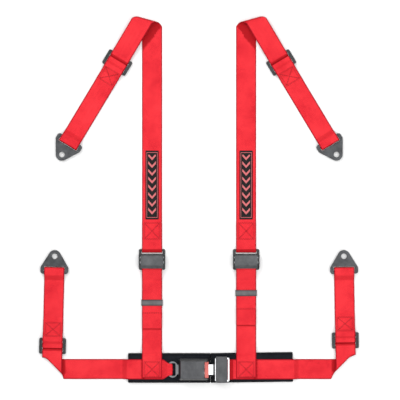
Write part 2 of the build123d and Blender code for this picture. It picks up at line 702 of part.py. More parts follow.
def make_buckle_frame():
    """The steel frame: a channel that the tongue runs in, with the ring for the lap belt at its back."""
    slot_end = RING_X[1] - RING_WALL
    with BuildPart() as frame:
        with BuildSketch(Plane(origin=(0, LAP_Y, FRAME_Z), z_dir=(0, 0, 1))):
            with Locations((sum(FRAME_X) / 2, 0)):
                Rectangle(FRAME_X[1] - FRAME_X[0], 2 * (FRAME_HALF + SHEET))
            with Locations(((RING_X[1] + FRAME_X[0]) / 2 - 2, 0)):
                Rectangle(FRAME_X[0] - RING_X[1] + 4, 2 * NECK_HALF)
            with Locations((sum(RING_X) / 2, 0)):
                RectangleRounded(RING_X[1] - RING_X[0], 2 * RING_HALF, RING_CORNER - 1)
            with Locations(((ANCHOR_BAR[1] + slot_end) / 2, 0)):
                slot = (slot_end - ANCHOR_BAR[1], 2 * (RING_HALF - RING_WALL))
                RectangleRounded(*slot, slot[0] / 3, mode=Mode.SUBTRACT)
        extrude(amount=SHEET)
        for y in (-FRAME_HALF - SHEET / 2, FRAME_HALF + SHEET / 2):
            with BuildSketch(Plane(origin=(0, LAP_Y + y, 0), x_dir=(1, 0, 0), z_dir=(0, -1, 0))):
                with Locations((sum(FRAME_WALL_X) / 2, (FRAME_Z + FRAME_TOP_Z) / 2)):
                    Rectangle(FRAME_WALL_X[1] - FRAME_WALL_X[0], FRAME_TOP_Z - FRAME_Z)
                with Locations(PAWL_PIN):
                    Circle(PAWL_PIN_R + PIN_FIT, mode=Mode.SUBTRACT)
            extrude(amount=SHEET / 2, both=True)
        for y in (-1, 1):
            with Locations((-1, LAP_Y + y * (FRAME_HALF - 2), (FRAME_Z + FRAME_TOP_Z) / 2)):
                Box(SHEET, 4, FRAME_TOP_Z - FRAME_Z)
    save(frame, "buckle_frame")


def make_button():
    """The press button at the buckle's mouth, with a nose that lifts the pawl."""
    with BuildPart() as button:
        with BuildSketch(Plane(origin=(sum(BUTTON_X) / 2, LAP_Y, BUTTON_Z[0]), z_dir=(0, 0, 1))):
            Rectangle(BUTTON_X[1] - BUTTON_X[0], 2 * BUTTON_HALF)
        extrude(amount=BUTTON_Z[1] - BUTTON_Z[0])
        fillet(button.edges().filter_by(Axis.Z), 1.5)
        fillet(button.edges().group_by(Axis.Z)[-1], 1.2)
        hollow_x = (BUTTON_X[0] - 1, BUTTON_X[1] - 2)
        hollow_z = (BUTTON_Z[0] + 2, BUTTON_Z[1] - 2)
        block(hollow_x, BUTTON_HALF - 3, hollow_z, Mode.SUBTRACT)
        block((NOSE_X, BUTTON_X[0] + 2), 5, NOSE_Z)
    save(button, "release_button")


def make_latch():
    with BuildPart() as pawl:
        with BuildSketch(Plane(origin=(0, LAP_Y, 0), x_dir=(1, 0, 0), z_dir=(0, -1, 0))):
            with Locations(PAWL_PIN):
                Circle(3)
            with Locations(((PAWL_PIN[0] + 8) / 2, sum(PAWL_Z) / 2)):
                Rectangle(8 - PAWL_PIN[0], PAWL_Z[1] - PAWL_Z[0])
            tooth_foot = BLADE_Z + BLADE_THICK + BODY_GAP
            with Locations((sum(TOOTH_X) / 2, (tooth_foot + PAWL_Z[1]) / 2)):
                Rectangle(TOOTH_X[1] - TOOTH_X[0], PAWL_Z[1] - tooth_foot)
            with Locations(PAWL_PIN):
                Circle(PAWL_PIN_R + PIN_FIT, mode=Mode.SUBTRACT)
        extrude(amount=PAWL_HALF, both=True)
    save(pawl, "latch_pawl")

    with BuildPart() as pin:
        with BuildSketch(Plane(origin=(PAWL_PIN[0], LAP_Y, PAWL_PIN[1]), z_dir=(0, 1, 0))):
            Circle(PAWL_PIN_R)
        extrude(amount=FRAME_HALF + SHEET, both=True)
    save(pin, "pawl_pin")

    with BuildPart() as pawl_spring:
        middle = (PAWL_PIN[0], LAP_Y + PAWL_HALF + 4, PAWL_PIN[1])
        add(make_coil(middle, (0, 1, 0), PAWL_PIN_R + SPRING_WIRE + 0.2, 6, 5))
    save(pawl_spring, "pawl_spring")

    with BuildPart() as ejector:
        block(EJECTOR_X, EJECTOR_HALF, (BLADE_Z, BLADE_Z + BLADE_THICK))
        fillet(ejector.edges().filter_by(Axis.Z), 1)
    save(ejector, "ejector")

    with BuildPart() as ejector_spring:
        ends = (FRAME_X[0] + 2, EJECTOR_X[0] - SPRING_WIRE - 0.1)
        middle = (sum(ends) / 2, LAP_Y, BLADE_Z + 1.7)
        add(make_coil(middle, (1, 0, 0), 1.2, ends[1] - ends[0], 9))
    save(ejector_spring, "ejector_spring")

    with BuildPart() as button_springs:
        ends = (0.5, BUTTON_X[0] - SPRING_WIRE - 0.2)
        for y in (-1, 1):
            middle = (sum(ends) / 2, LAP_Y + y * (FRAME_HALF - 2), BUTTON_Z[0] + 1.5)
            add(make_coil(middle, (1, 0, 0), 1.3, ends[1] - ends[0], 7))
    save(button_springs, "button_springs")


def make_screws():
    """Four screws hold the buckle's shells together from below."""
    with BuildPart() as screws:
        for x in (BUCKLE_X[0] + 12, BUCKLE_X[1] - 16):
            for y in (-1, 1):
                centre = (x, LAP_Y + y * (BUCKLE_WIDTH / 2 - COVER_WALL - 2.6), ON_PAD + COVER_WALL + 0.1)
                with BuildSketch(Plane(origin=centre, z_dir=(0, 0, 1))):
                    Circle(2.2)
                extrude(amount=1.4)
                with BuildSketch(Plane(origin=centre, z_dir=(0, 0, 1))):
                    Circle(1.1)
                extrude(amount=COVER_SPLIT_Z - ON_PAD)
    save(screws, "buckle_screws")


# ---- Tongue ----


def make_tongue():
    """One chromed plate: the blade with its latch window, and the two slots for the lap belt."""
    with BuildPart() as tongue:
        with BuildSketch(Plane(origin=(0, LAP_Y, BLADE_Z), z_dir=(0, 0, 1))):
            with Locations((sum(TONGUE_X) / 2, 0)):
                RectangleRounded(TONGUE_X[1] - TONGUE_X[0], TONGUE_WIDTH, 4)
            with Locations(((BLADE_TIP_X + TONGUE_X[0]) / 2 + 2, 0)):
                Rectangle(TONGUE_X[0] - BLADE_TIP_X + 4, BLADE_WIDTH)
            for slot in (FRONT_SLOT, REAR_SLOT):
                with Locations((sum(slot) / 2, 0)):
                    RectangleRounded(slot[1] - slot[0], TONGUE_SLOT_WIDTH, 2, mode=Mode.SUBTRACT)
            with Locations((sum(WINDOW_X) / 2, 0)):
                RectangleRounded(WINDOW_X[1] - WINDOW_X[0], WINDOW_WIDTH, 1, mode=Mode.SUBTRACT)
        extrude(amount=BLADE_THICK)
        fillet(tongue.edges().group_by(Axis.Z)[-1], 0.5)
    save(tongue, "tongue_plate")

    with BuildPart() as grip:
        with BuildSketch(Plane(origin=(sum(GRIP_X) / 2, LAP_Y, BLADE_Z - 1), z_dir=(0, 0, 1))):
            RectangleRounded(GRIP_X[1] - GRIP_X[0], GRIP_WIDTH, 3)
        extrude(amount=GRIP_TOP_Z - BLADE_Z + 1)
        fillet(grip.edges().group_by(Axis.Z)[-1], 2)
        seat = BLADE_Z + BLADE_THICK + 0.1
        block((GRIP_X[0] - 1, GRIP_X[1] + 1), TONGUE_WIDTH / 2 + 0.1, (BLADE_Z - 2, seat), Mode.SUBTRACT)
        hollow = (GRIP_X[0] + GRIP_WALL, GRIP_X[1] + 1)
        block(hollow, WEB_WIDTH / 2 + 0.6, (seat - 1, GRIP_TOP_Z - 1.6), Mode.SUBTRACT)
    save(grip, "tongue_grip")


for strap_end in HOLE:
    make_fold(strap_end)
    make_end_webbing(strap_end)
    make_slide(strap_end)
    make_tab(strap_end)
make_lap_belts()
for side_name in SIDES:
    make_pad(side_name)
    make_shoulder_webbing(side_name)
    make_riser(side_name)
    make_label(side_name)
    make_keeper(side_name)
    make_adjuster_frame(side_name)
    make_adjuster_bars(side_name)
    make_lever(side_name)
    make_lever_spring(side_name)
make_buckle_shells()
make_buckle_frame()
make_button()
make_latch()
make_screws()
make_tongue()
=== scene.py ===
# %% The fixed frame
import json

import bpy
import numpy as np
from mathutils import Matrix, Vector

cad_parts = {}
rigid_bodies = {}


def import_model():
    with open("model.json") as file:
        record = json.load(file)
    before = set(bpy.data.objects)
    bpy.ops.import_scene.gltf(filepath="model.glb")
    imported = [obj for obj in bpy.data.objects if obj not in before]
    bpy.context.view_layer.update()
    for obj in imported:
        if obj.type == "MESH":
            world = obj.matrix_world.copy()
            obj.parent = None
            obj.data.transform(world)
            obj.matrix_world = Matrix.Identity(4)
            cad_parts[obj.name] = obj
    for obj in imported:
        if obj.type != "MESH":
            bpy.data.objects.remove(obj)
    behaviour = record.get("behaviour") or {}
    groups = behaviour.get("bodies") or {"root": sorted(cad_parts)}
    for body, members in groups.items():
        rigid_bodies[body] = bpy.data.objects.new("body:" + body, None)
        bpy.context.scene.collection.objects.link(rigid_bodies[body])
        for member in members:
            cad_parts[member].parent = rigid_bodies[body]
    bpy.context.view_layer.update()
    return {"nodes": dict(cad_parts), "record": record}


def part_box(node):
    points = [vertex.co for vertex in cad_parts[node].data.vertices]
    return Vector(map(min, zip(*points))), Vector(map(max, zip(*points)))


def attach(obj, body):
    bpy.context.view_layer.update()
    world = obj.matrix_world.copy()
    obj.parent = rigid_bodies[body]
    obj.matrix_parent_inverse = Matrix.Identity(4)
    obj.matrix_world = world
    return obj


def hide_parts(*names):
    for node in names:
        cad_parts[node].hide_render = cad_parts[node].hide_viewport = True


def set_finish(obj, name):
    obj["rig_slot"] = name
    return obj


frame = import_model()

# %% [markdown]
# # A racing harness, laid out flat
#
# The frame holds the CAD model: every slide, tab, lever and buckle part is already in its place. This
# lesson gives them their finish and replaces the plain webbing, pads and labels with ones that look sewn.
# All new pieces are surfaces worked out with numpy. Lengths are in millimetres until a mesh is made,
# because a maker thinks in them.

MM = 0.001
UP = np.array([0.0, 0.0, 1.0])
SIDES = {"left": -1, "right": 1}
BODY = {"left": "buckle_side", "right": "tongue_side"}

# %% [markdown]
# ## Camera, floor and light
#
# The harness is seen from straight above, as it lies on a white table. A long lens keeps the straps
# parallel. Large soft lamps and a bright world leave only faint shadows under the straps, as a light tent
# does.

# %% Camera, floor and lights
VIEW_CENTRE = (0.00375, -0.0025)
VIEW_WIDTH = 1.0
CAMERA_HEIGHT = 4.0
SENSOR = 36.0


def put(name, data, place=(0, 0, 0)):
    """A new object in the scene, at a place in metres."""
    thing = bpy.data.objects.new(name, data)
    thing.location = place
    bpy.context.collection.objects.link(thing)
    return thing


def make_camera():
    """A lens looking straight down, whose width of view on the floor is VIEW_WIDTH."""
    data = bpy.data.cameras.new("camera")
    data.sensor_width = SENSOR
    data.lens = SENSOR * CAMERA_HEIGHT / VIEW_WIDTH
    bpy.context.scene.camera = put("camera", data, (*VIEW_CENTRE, CAMERA_HEIGHT))


def make_lamp(name, place, size, power):
    """A square soft lamp at a place, turned to face the middle of the harness."""
    data = bpy.data.lights.new(name, "AREA")
    data.size = size
    data.energy = power
    lamp = put(name, data, place)
    lamp.rotation_euler = (-Vector(place)).to_track_quat("-Z", "Y").to_euler()


def make_world(horizon, zenith):
    """A white dome, dim at the horizon and bright overhead, so that edges and creases turn darker."""
    world = bpy.data.worlds.new("tent")
    world.use_nodes = True
    tree = world.node_tree
    background = tree.nodes["Background"]
    background.inputs["Color"].default_value = (1, 1, 1, 1)
    split = tree.nodes.new("ShaderNodeSeparateXYZ")
    tree.links.new(tree.nodes.new("ShaderNodeTexCoord").outputs["Generated"], split.inputs[0])
    climb = tree.nodes.new("ShaderNodeMapRange")
    tree.links.new(split.outputs[2], climb.inputs["Value"])
    climb.inputs["To Min"].default_value = horizon
    climb.inputs["To Max"].default_value = zenith
    tree.links.new(climb.outputs["Result"], background.inputs["Strength"])
    bpy.context.scene.world = world


def make_floor(half):
    mesh = bpy.data.meshes.new("floor")
    corners = [(-half, -half, 0), (half, -half, 0), (half, half, 0), (-half, half, 0)]
    mesh.from_pydata(corners, [], [(0, 1, 2, 3)])
    paint = bpy.data.materials.new("floor")
    paint.use_nodes = True
    shader = paint.node_tree.nodes["Principled BSDF"]
    shader.inputs["Base Color"].default_value = (0.98, 0.98, 0.98, 1)
    shader.inputs["Roughness"].default_value = 0.9
    mesh.materials.append(paint)
    floor = put("floor", mesh)


bpy.context.scene.view_settings.view_transform = "Standard"
make_camera()
make_floor(6.0)
make_lamp("key", (-1.3, 1.5, 1.6), 1.4, 19)
make_lamp("fill", (1.4, -0.6, 1.5), 1.6, 9)
make_lamp("top", (0.2, 0.1, 2.4), 2.0, 16)
make_world(0.1, 0.95)

# %% [markdown]
# ## Materials
#
# A finish is a small node tree. The helper below adds nodes by name and joins them, so each finish reads as
# a recipe: a pattern, a colour ramp over it, a roughness, and a bump for the relief that is too fine to
# model.

# %% A recipe helper
class Recipe:
    """A material under construction. Its methods return sockets that the next ones can take."""

    def __init__(self, name):
        self.material = bpy.data.materials.new(name)
        self.material.use_nodes = True
        self.tree = self.material.node_tree

    def fill(self, node, inputs):
        """Joins each input to a socket, or sets it to a plain value."""
        for name, value in inputs.items():
            if isinstance(value, bpy.types.NodeSocket):
                self.tree.links.new(value, node.inputs[name])
            elif value is not None:
                node.inputs[name].default_value = value

    def node(self, kind, inputs, **values):
        """A new node with its values set and its inputs filled."""
        node = self.tree.nodes.new(kind)
        for key, value in values.items():
            setattr(node, key, value)
        self.fill(node, inputs)
        return node

    def coordinates(self, kind="Object", scale=(1, 1, 1)):
        vector = self.node("ShaderNodeTexCoord", {}).outputs[kind]
        return self.node("ShaderNodeMapping", {"Vector": vector, "Scale": scale}).outputs["Vector"]

    def split(self, vector):
        """The X, Y and Z of a vector."""
        return self.node("ShaderNodeSeparateXYZ", {0: vector}).outputs

    def noise(self, vector, scale, detail=3.0, roughness=0.5):
        inputs = {"Vector": vector, "Scale": scale, "Detail": detail, "Roughness": roughness}
        return self.node("ShaderNodeTexNoise", inputs).outputs["Fac"]

    def maths(self, operation, a, b=None):
        return self.node("ShaderNodeMath", {0: a, 1: b}, operation=operation).outputs[0]

    def times(self, a, b):
        return self.maths("MULTIPLY", a, b)

    def away(self, value, middle):
        """How far a value lies from a middle, on either side."""
        return self.maths("ABSOLUTE", self.maths("SUBTRACT", value, middle))

    def wave(self, value, rate):
        """The sine of rate times a value."""
        return self.maths("SINE", self.times(value, rate))

    def blend(self, a, b, share):
        """A weighted sum: share times a, plus the rest times b."""
        return self.maths("ADD", self.times(a, share), self.times(b, 1 - share))

    def spread(self, value, low, high, to_low, to_high):
        """Maps low..high onto to_low..to_high, held at both ends."""
        inputs = {"Value": value, "From Min": low, "From Max": high, "To Min": to_low, "To Max": to_high}
        return self.node("ShaderNodeMapRange", inputs).outputs["Result"]

    def colours(self, value, *stops):
        """A colour ramp: each stop is (place, colour)."""
        ramp = self.node("ShaderNodeValToRGB", {"Fac": value})
        elements = ramp.color_ramp.elements
        while len(elements) < len(stops):
            elements.new(0.5)
        for element, (place, colour) in zip(elements, stops):
            element.position = place
            element.color = (*colour, 1)
        return ramp.outputs["Color"]

    def mix(self, factor, a, b):
        """Goes from one colour to another as the factor goes from 0 to 1."""
        b = b if isinstance(b, bpy.types.NodeSocket) else (*b, 1)
        return self.node("ShaderNodeMix", {0: factor, 6: a, 7: b}, data_type="RGBA").outputs[2]

    def relief(self, height, depth, strength):
        """Bump from a height field; depth is in metres."""
        inputs = {"Strength": strength, "Distance": depth, "Height": height}
        return self.node("ShaderNodeBump", inputs).outputs["Normal"]

    def finish(self, colour, roughness, normal, **inputs):
        """Fills the shader's inputs. An underscore in a name stands for a space."""
        inputs = {"Base_Color": colour, "Roughness": roughness, "Normal": normal, **inputs}
        named = {name.replace("_", " "): value for name, value in inputs.items()}
        self.fill(self.tree.nodes["Principled BSDF"], named)
        return self.material


# %% [markdown]
# ### Webbing, thread and cloth
#
# Harness webbing is a thick polyester twill. Its yarns run in a herringbone, in five panels side by side,
# between two hard edges. The pattern follows the strap, so it reads the strap's own UV map: U counts strap
# widths across, and V counts the same unit along. A sine of both, mirrored in every panel, gives the
# herringbone. Shade is painted into the red as well: where a strap dips beside a bar or turns steeply over,
# it carries a number for painted shade, and the cloth is painted darker with it.

# %% Webbing and thread finishes
PANELS = 5
YARNS_PER_WIDTH, WARP_SHARE = 52.0, 0.8
SLANT = 2.4  # how steeply the herringbone leans
WEB_RED = (0.96, 0.040, 0.052)
WEB_MID = (0.84, 0.023, 0.037)
WEB_SHADE = (0.50, 0.003, 0.014)
# Painted shade: the dark red for the rounded edges of a strap
WEB_EDGE_SHADE = (0.40, 0.001, 0.012)
# Painted shade: the dark red put where a strap dips or turns steeply
WEB_PAINTED_SHADE = (0.40, 0.0, 0.004)
EDGE_SHADE_SPAN = (0.435, 0.472)  # share of the width from the middle, where the painted shade of the rounded edge takes over
PAINTED_SHADE_STRENGTH = 0.86


def webbing_finish():
    """Red, darker between the yarns and in worn patches, with painted shade at the edges and where it dips.
    """
    recipe = Recipe("red_webbing")
    across, along, _ = recipe.split(recipe.coordinates("UV"))
    panel = recipe.maths("PINGPONG", recipe.times(across, float(PANELS)), 0.5)
    phase = recipe.maths("ADD", along, recipe.times(panel, SLANT / PANELS))
    yarn = recipe.wave(phase, YARNS_PER_WIDTH * 2 * np.pi)
    warp = recipe.wave(across, YARNS_PER_WIDTH * WARP_SHARE * 2 * np.pi)
    weave = recipe.spread(recipe.blend(yarn, warp, 0.6), -1.0, 1.0, 0.0, 1.0)
    patchy = recipe.noise(recipe.coordinates(), 16.0, 5.0, 0.62)
    tone = recipe.blend(weave, patchy, 0.35)
    red = recipe.colours(tone, (0.22, WEB_SHADE), (0.46, WEB_MID), (0.66, WEB_RED))
    # Painted shade: towards the rounded edges, which turn away from the light, the red is painted darker
    edge = recipe.spread(recipe.away(across, 0.5), *EDGE_SHADE_SPAN, 0.0, 0.9)
    red = recipe.mix(edge, red, WEB_EDGE_SHADE)
    # Painted shade: the red is painted darker by the number stored where the strap dips or turns steeply
    painted_shade = recipe.node("ShaderNodeAttribute", {}, attribute_name="painted_shade").outputs["Fac"]
    red = recipe.mix(recipe.times(painted_shade, PAINTED_SHADE_STRENGTH), red, WEB_PAINTED_SHADE)
    rough = recipe.spread(patchy, 0.3, 0.7, 0.66, 0.54)
    normal = recipe.relief(weave, 0.00022, 0.8)
    return recipe.finish(red, rough, normal, Specular_IOR_Level=0.13, Sheen_Weight=0.03)


def thread_finish(name, colour, shade):
    """Twisted sewing thread: its ply shows as fine light and dark turns."""
    recipe = Recipe(name)
    grain = recipe.noise(recipe.coordinates(), 900.0, 2.0)
    tint = recipe.colours(grain, (0.3, shade), (0.7, colour))
    return recipe.finish(tint, 0.5, recipe.relief(grain, 0.0001, 0.6), Specular_IOR_Level=0.3)


red_webbing = webbing_finish()
red_thread = thread_finish("red_thread", (0.46, 0.006, 0.016), (0.20, 0.001, 0.005))
black_thread = thread_finish("black_thread", (0.03, 0.033, 0.038), (0.008, 0.009, 0.011))


# %% [markdown]
# The pad's cover is a close plain weave, and the label a smooth satin. Both are dark, so it is the relief
# that shows.

# %% Pad and label cloth
def plain_weave(recipe, pitch):
    """Two crossed sets of threads, pitch metres apart, on object coordinates."""
    x, y, _ = recipe.split(recipe.coordinates())
    weft, warp = (recipe.wave(socket, 2 * np.pi / pitch) for socket in (x, y))
    return recipe.spread(recipe.times(weft, warp), -1.0, 1.0, 0.0, 1.0)


def cloth_finish(name, colour, light, pitch, rough):
    recipe = Recipe(name)
    weave = plain_weave(recipe, pitch)
    dust = recipe.noise(recipe.coordinates(), 60.0, 5.0, 0.65)
    tint = recipe.colours(recipe.blend(weave, dust, 0.45), (0.25, colour), (0.8, light))
    normal = recipe.relief(weave, 0.00018, 0.8)
    return recipe.finish(tint, recipe.spread(dust, 0.3, 0.7, rough, rough - 0.12), normal,
                         Specular_IOR_Level=0.12)


pad_cloth = cloth_finish("pad_cloth", (0.004, 0.005, 0.008), (0.015, 0.018, 0.024), 0.0011, 0.78)
pad_binding = cloth_finish("pad_binding", (0.003, 0.003, 0.005), (0.009, 0.010, 0.014), 0.0006, 0.66)


# %% [markdown]
# ### Steel, chrome and plastic
#
# The slides, tabs and adjusters are dipped in a dark satin coat, which is faintly pebbled and wears to a
# lighter grey in patches. Bright parts are plated: their brushing runs one way, so the noise is stretched
# along that way.

# %% Metal and plastic finishes
def coated_finish(name, dark, light, rough):
    recipe = Recipe(name)
    place = recipe.coordinates()
    pebble = recipe.noise(place, 1400.0, 2.0)
    wear = recipe.noise(place, 45.0, 6.0, 0.7)
    tint = recipe.colours(wear, (0.32, dark), (0.72, light))
    normal = recipe.relief(pebble, 0.00006, 0.7)
    rough = recipe.spread(wear, 0.35, 0.7, rough + 0.06, rough - 0.1)
    return recipe.finish(tint, rough, normal, Metallic=0.35)


def brushed_finish(name, colour, rough, stretch):
    recipe = Recipe(name)
    strokes = recipe.noise(recipe.coordinates(scale=stretch), 260.0, 4.0, 0.6)
    smear = recipe.noise(recipe.coordinates(), 30.0, 4.0)
    dull = tuple(channel * 0.72 for channel in colour)
    tint = recipe.colours(smear, (0.3, dull), (0.65, colour))
    normal = recipe.relief(strokes, 0.00003, 0.6)
    rough = recipe.spread(strokes, 0.3, 0.7, rough + 0.08, rough - 0.05)
    return recipe.finish(tint, rough, normal, Metallic=1.0)


def plastic_finish(name, dark, light, rough, coat, face_height=None, band=None):
    """Grained plastic. Below face_height the sloped sides are painted darker, as painted shade.

    A band is (middle, half) along Y, past which painted shade darkens the colour where it rounds over."""
    recipe = Recipe(name)
    place = recipe.coordinates()
    grain = recipe.noise(place, 1900.0, 2.0)
    cloud = recipe.noise(place, 55.0, 4.0, 0.6)
    tint = recipe.colours(cloud, (0.3, dark), (0.7, light))
    _, y, z = recipe.split(place)
    # Painted shade: below the lit face the sloped sides are painted darker
    if face_height is not None:
        side_shade = recipe.spread(z, face_height - 0.0006, face_height, 1.0, 0.0)
        tint = recipe.mix(side_shade, tint, [0.25 * c for c in dark])
    # Painted shade: past the band the colour is painted darker where the keeper rounds over
    if band is not None:
        rim_shade = recipe.spread(recipe.away(y, band[0]), 0.45 * band[1], 0.85 * band[1], 0.0, 0.9)
        tint = recipe.mix(rim_shade, tint, [0.12 * c for c in dark])
    normal = recipe.relief(grain, 0.00005, 0.6)
    return recipe.finish(tint, recipe.spread(cloud, 0.3, 0.7, rough + 0.05, rough - 0.06), normal,
                         Coat_Weight=coat, Coat_Roughness=0.25)


coated_steel = coated_finish("coated_steel", (0.022, 0.023, 0.026), (0.075, 0.08, 0.086), 0.36)
dark_steel = coated_finish("dark_steel", (0.008, 0.009, 0.010), (0.042, 0.045, 0.047), 0.34)
zinc_steel = brushed_finish("zinc_steel", (0.55, 0.56, 0.58), 0.3, (0.15, 1, 1))
ring_steel = brushed_finish("ring_steel", (0.20, 0.20, 0.21), 0.38, (0.15, 1, 1))
spring_wire = brushed_finish("spring_wire", (0.42, 0.42, 0.43), 0.3, (1, 1, 0.2))
chrome_plate = brushed_finish("chrome_plate", (0.8, 0.8, 0.82), 0.12, (1, 0.1, 1))
grey_plastic = plastic_finish("grey_plastic", (0.046, 0.048, 0.053), (0.085, 0.087, 0.094), 0.46, 0.1)
cover_plastic = plastic_finish("cover_plastic", (0.04, 0.042, 0.048), (0.08, 0.082, 0.09), 0.42, 0.15, 0.0262)
black_rubber = plastic_finish("black_rubber", (0.004, 0.004, 0.005), (0.013, 0.013, 0.015), 0.55, 0.0)
lever_grey = coated_finish("lever_grey", (0.045, 0.048, 0.052), (0.10, 0.105, 0.11), 0.38)
button_red = plastic_finish("button_red", (0.58, 0.085, 0.07), (0.74, 0.15, 0.125), 0.36, 0.25)
keeper_plastic = {}
for keeper in ("left_keeper", "right_keeper"):
    low_y, high_y = (corner[1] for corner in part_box(keeper))
    keeper_plastic[keeper] = plastic_finish(
        f"{keeper}_plastic", (0.07, 0.066, 0.07), (0.12, 0.115, 0.12), 0.42, 0.1,
        band=((low_y + high_y) / 2, (high_y - low_y) / 2))
print("finishes:", len(bpy.data.materials))


# %% [markdown]
# ### Dressing the CAD parts
#
# A CAD part keeps its mesh and only changes its material. The parts are named by what they are, so their
# finish can be chosen from the end of their name.

# %% Finishes of the CAD nodes
FINISH_OF = {
    "_slide": dark_steel,
    "_anchor_tab": coated_steel,
    "adjuster_frame": dark_steel,
    "adjuster_lever": lever_grey,
    "turn_bar": zinc_steel,
    "_pin": zinc_steel,
    "_spring": spring_wire,
    "_springs": spring_wire,
    **keeper_plastic,
    "buckle_base": grey_plastic,
    "buckle_cover": cover_plastic,
    "tongue_grip": grey_plastic,
    "ejector": grey_plastic,
    "buckle_frame": ring_steel,
    "latch_pawl": zinc_steel,
    "buckle_screws": zinc_steel,
    "release_button": button_red,
    "tongue_plate": chrome_plate,
}
for node_name, node in frame["nodes"].items():
    for ending, finish in FINISH_OF.items():
        if node_name.endswith(ending):
            node.data.materials.clear()
            node.data.materials.append(finish)
print("dressed:", sum(len(node.data.materials) == 1 for node in frame["nodes"].values()), "nodes")


# %% [markdown]
# ## Meshes from grids
#
# Everything below is a grid of points: rows run along a piece and columns run round or across it. One
# helper numbers the four-sided faces of such a grid, and another turns arrays into a mesh.

# %% Grid and mesh helpers
def grid_faces(rows, columns, wrap=False):
    """Face corner numbers of a grid, as one array. With wrap, the last column joins the first."""
    row = np.arange(rows - 1)[:, None]
    column = np.arange(columns if wrap else columns - 1)[None, :]
    beside = (column + 1) % columns
    corners = (row * columns + column, (row + 1) * columns + column,
               (row + 1) * columns + beside, row * columns + beside)
    return np.stack([corner.ravel() for corner in corners], axis=1)


def make_piece(name, points, faces, finish, body, uv=None):
    """A smooth mesh from points in millimetres and lists of corners, riding on a body. uv is per point."""
    mesh = bpy.data.meshes.new(name)
    mesh.from_pydata((points.reshape(-1, 3) * MM).tolist(), [], faces)
    mesh.materials.append(finish)
    mesh.polygons.foreach_set("use_smooth", np.full(len(mesh.polygons), True))
    if uv is not None:
        corner = np.empty(len(mesh.loops), int)
        mesh.loops.foreach_get("vertex_index", corner)
        layer = mesh.uv_layers.new(name="UVMap")
        layer.data.foreach_set("uv", uv.reshape(-1, 2)[corner].astype(np.float32).ravel())
    mesh.update()
    piece = put(name, mesh)
    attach(piece, body)
    return piece


# %% [markdown]
# ## Webbing
#
# A strap is one long ribbon. Seen from its side it is a bent line: over the outer bars of a slide, under
# its middle bar, round the bar of a tab and back. So the line comes first, with an arc at each corner, and
# the ribbon is carried along it.

# %% A bent line with round corners
SAMPLE = 2.5  # distance between rows on a straight stretch
ARC_ROWS = 7


def corner_arc(before, corner, after, radius):
    """Points on the arc that rounds one corner. The arc's tangent points lie radius * tan(turn / 2) away."""
    first, second = corner - before, after - corner
    first_length, second_length = np.linalg.norm(first), np.linalg.norm(second)
    first, second = first / first_length, second / second_length
    cross = first[0] * second[1] - first[1] * second[0]
    turn = np.arctan2(abs(cross), first @ second)
    room = 0.47 * min(first_length, second_length)
    reach = min(radius * np.tan(turn / 2), room)
    radius = reach / np.tan(turn / 2)
    inward = np.sign(cross) * np.array([-first[1], first[0]])
    centre = corner - first * reach + inward * radius
    angles = np.linspace(0, turn, ARC_ROWS)[:, None]
    return centre - inward * radius * np.cos(angles) + first * radius * np.sin(angles)


def bent_line(points, bend):
    """The line through the points with every corner rounded, as rows of (distance, height)."""
    corners = np.array([point[:2] for point in points], float)
    bends = [point[2] if len(point) == 3 else bend for point in points]
    pieces = [corners[:1]]
    for i in range(1, len(corners) - 1):
        pieces.append(corner_arc(corners[i - 1], corners[i], corners[i + 1], bends[i]))
    pieces.append(corners[-1:])
    line = np.vstack(pieces)
    steps = np.linalg.norm(np.diff(line, axis=0), axis=1)
    counts = np.maximum(1, np.round(steps / SAMPLE)).astype(int)
    parts = [a + (b - a) * np.arange(n)[:, None] / n for a, b, n in zip(line, line[1:], counts)]
    return np.vstack([*parts, line[-1:]])


def line_normals(line):
    """The left-hand unit normal at each row of a line."""
    tangent = np.gradient(line, axis=0)
    tangent /= np.linalg.norm(tangent, axis=1)[:, None]
    return np.stack([-tangent[:, 1], tangent[:, 0]], axis=1)


def raised(points, height):
    """Corner points of a layer that lies height above the strap through the given points."""
    corners = np.array([point[:2] for point in points], float)
    run = np.diff(corners, axis=0)
    run /= np.linalg.norm(run, axis=1)[:, None]
    normal = np.stack([-run[:, 1], run[:, 0]], axis=1)
    before = np.vstack([normal[:1], normal])
    after = np.vstack([normal, normal[-1:]])
    middle = before + after
    middle /= np.linalg.norm(middle, axis=1)[:, None]
    reach = height / np.sum(middle * before, axis=1)
    return [tuple(point) for point in corners + middle * reach[:, None]]


# %% [markdown]
# The ribbon starts as its middle surface: a grid of rows along the strap and columns across it. Then it
# gets its thickness along the surface's own normals. The thickness is a function across the strap: full in
# five flat panels with a shallow groove between them, and closing to a hard round edge.

# %% A ribbon with woven panels
WEB_WIDTH = 50.0
WEB = 1.4
COLUMNS = 45
CROWDING = 0.28  # how strongly the columns crowd towards the edges
EDGE_THIN, GROOVE_DEPTH, GROOVE_WIDTH = 0.30, 0.16, 0.07
across_share = np.linspace(-1, 1, COLUMNS)
across_share = (1 - CROWDING) * across_share + CROWDING * np.sin(np.pi / 2 * across_share)
COLUMN_OFFSET = -across_share * WEB_WIDTH / 2


def web_thickness(share):
    """Half the thickness at a share across, from -1 to 1: panels with grooves between, and rounded edges."""
    panel = (share + 1) / 2 * PANELS
    groove = np.exp(-((panel - np.round(panel)) / GROOVE_WIDTH) ** 2) * (np.abs(share) < 0.93)
    edge = np.sqrt(np.clip(1 - np.abs(share) ** 14, 0, 1))
    return WEB / 2 * (EDGE_THIN + (1 - EDGE_THIN) * edge) * (1 - GROOVE_DEPTH * groove)


def surface_normals(middle):
    """The cross product of the steps along and across, at unit length."""
    normal = np.cross(np.gradient(middle, axis=0), np.gradient(middle, axis=1))
    return normal / np.linalg.norm(normal, axis=2)[:, :, None]


def thickened(middle, half):
    """Closed rings round a middle surface: out along its normal by half, and back on the other side."""
    offset = surface_normals(middle) * half[None, :, None]
    return np.concatenate([middle + offset, (middle - offset)[:, ::-1]], axis=1)


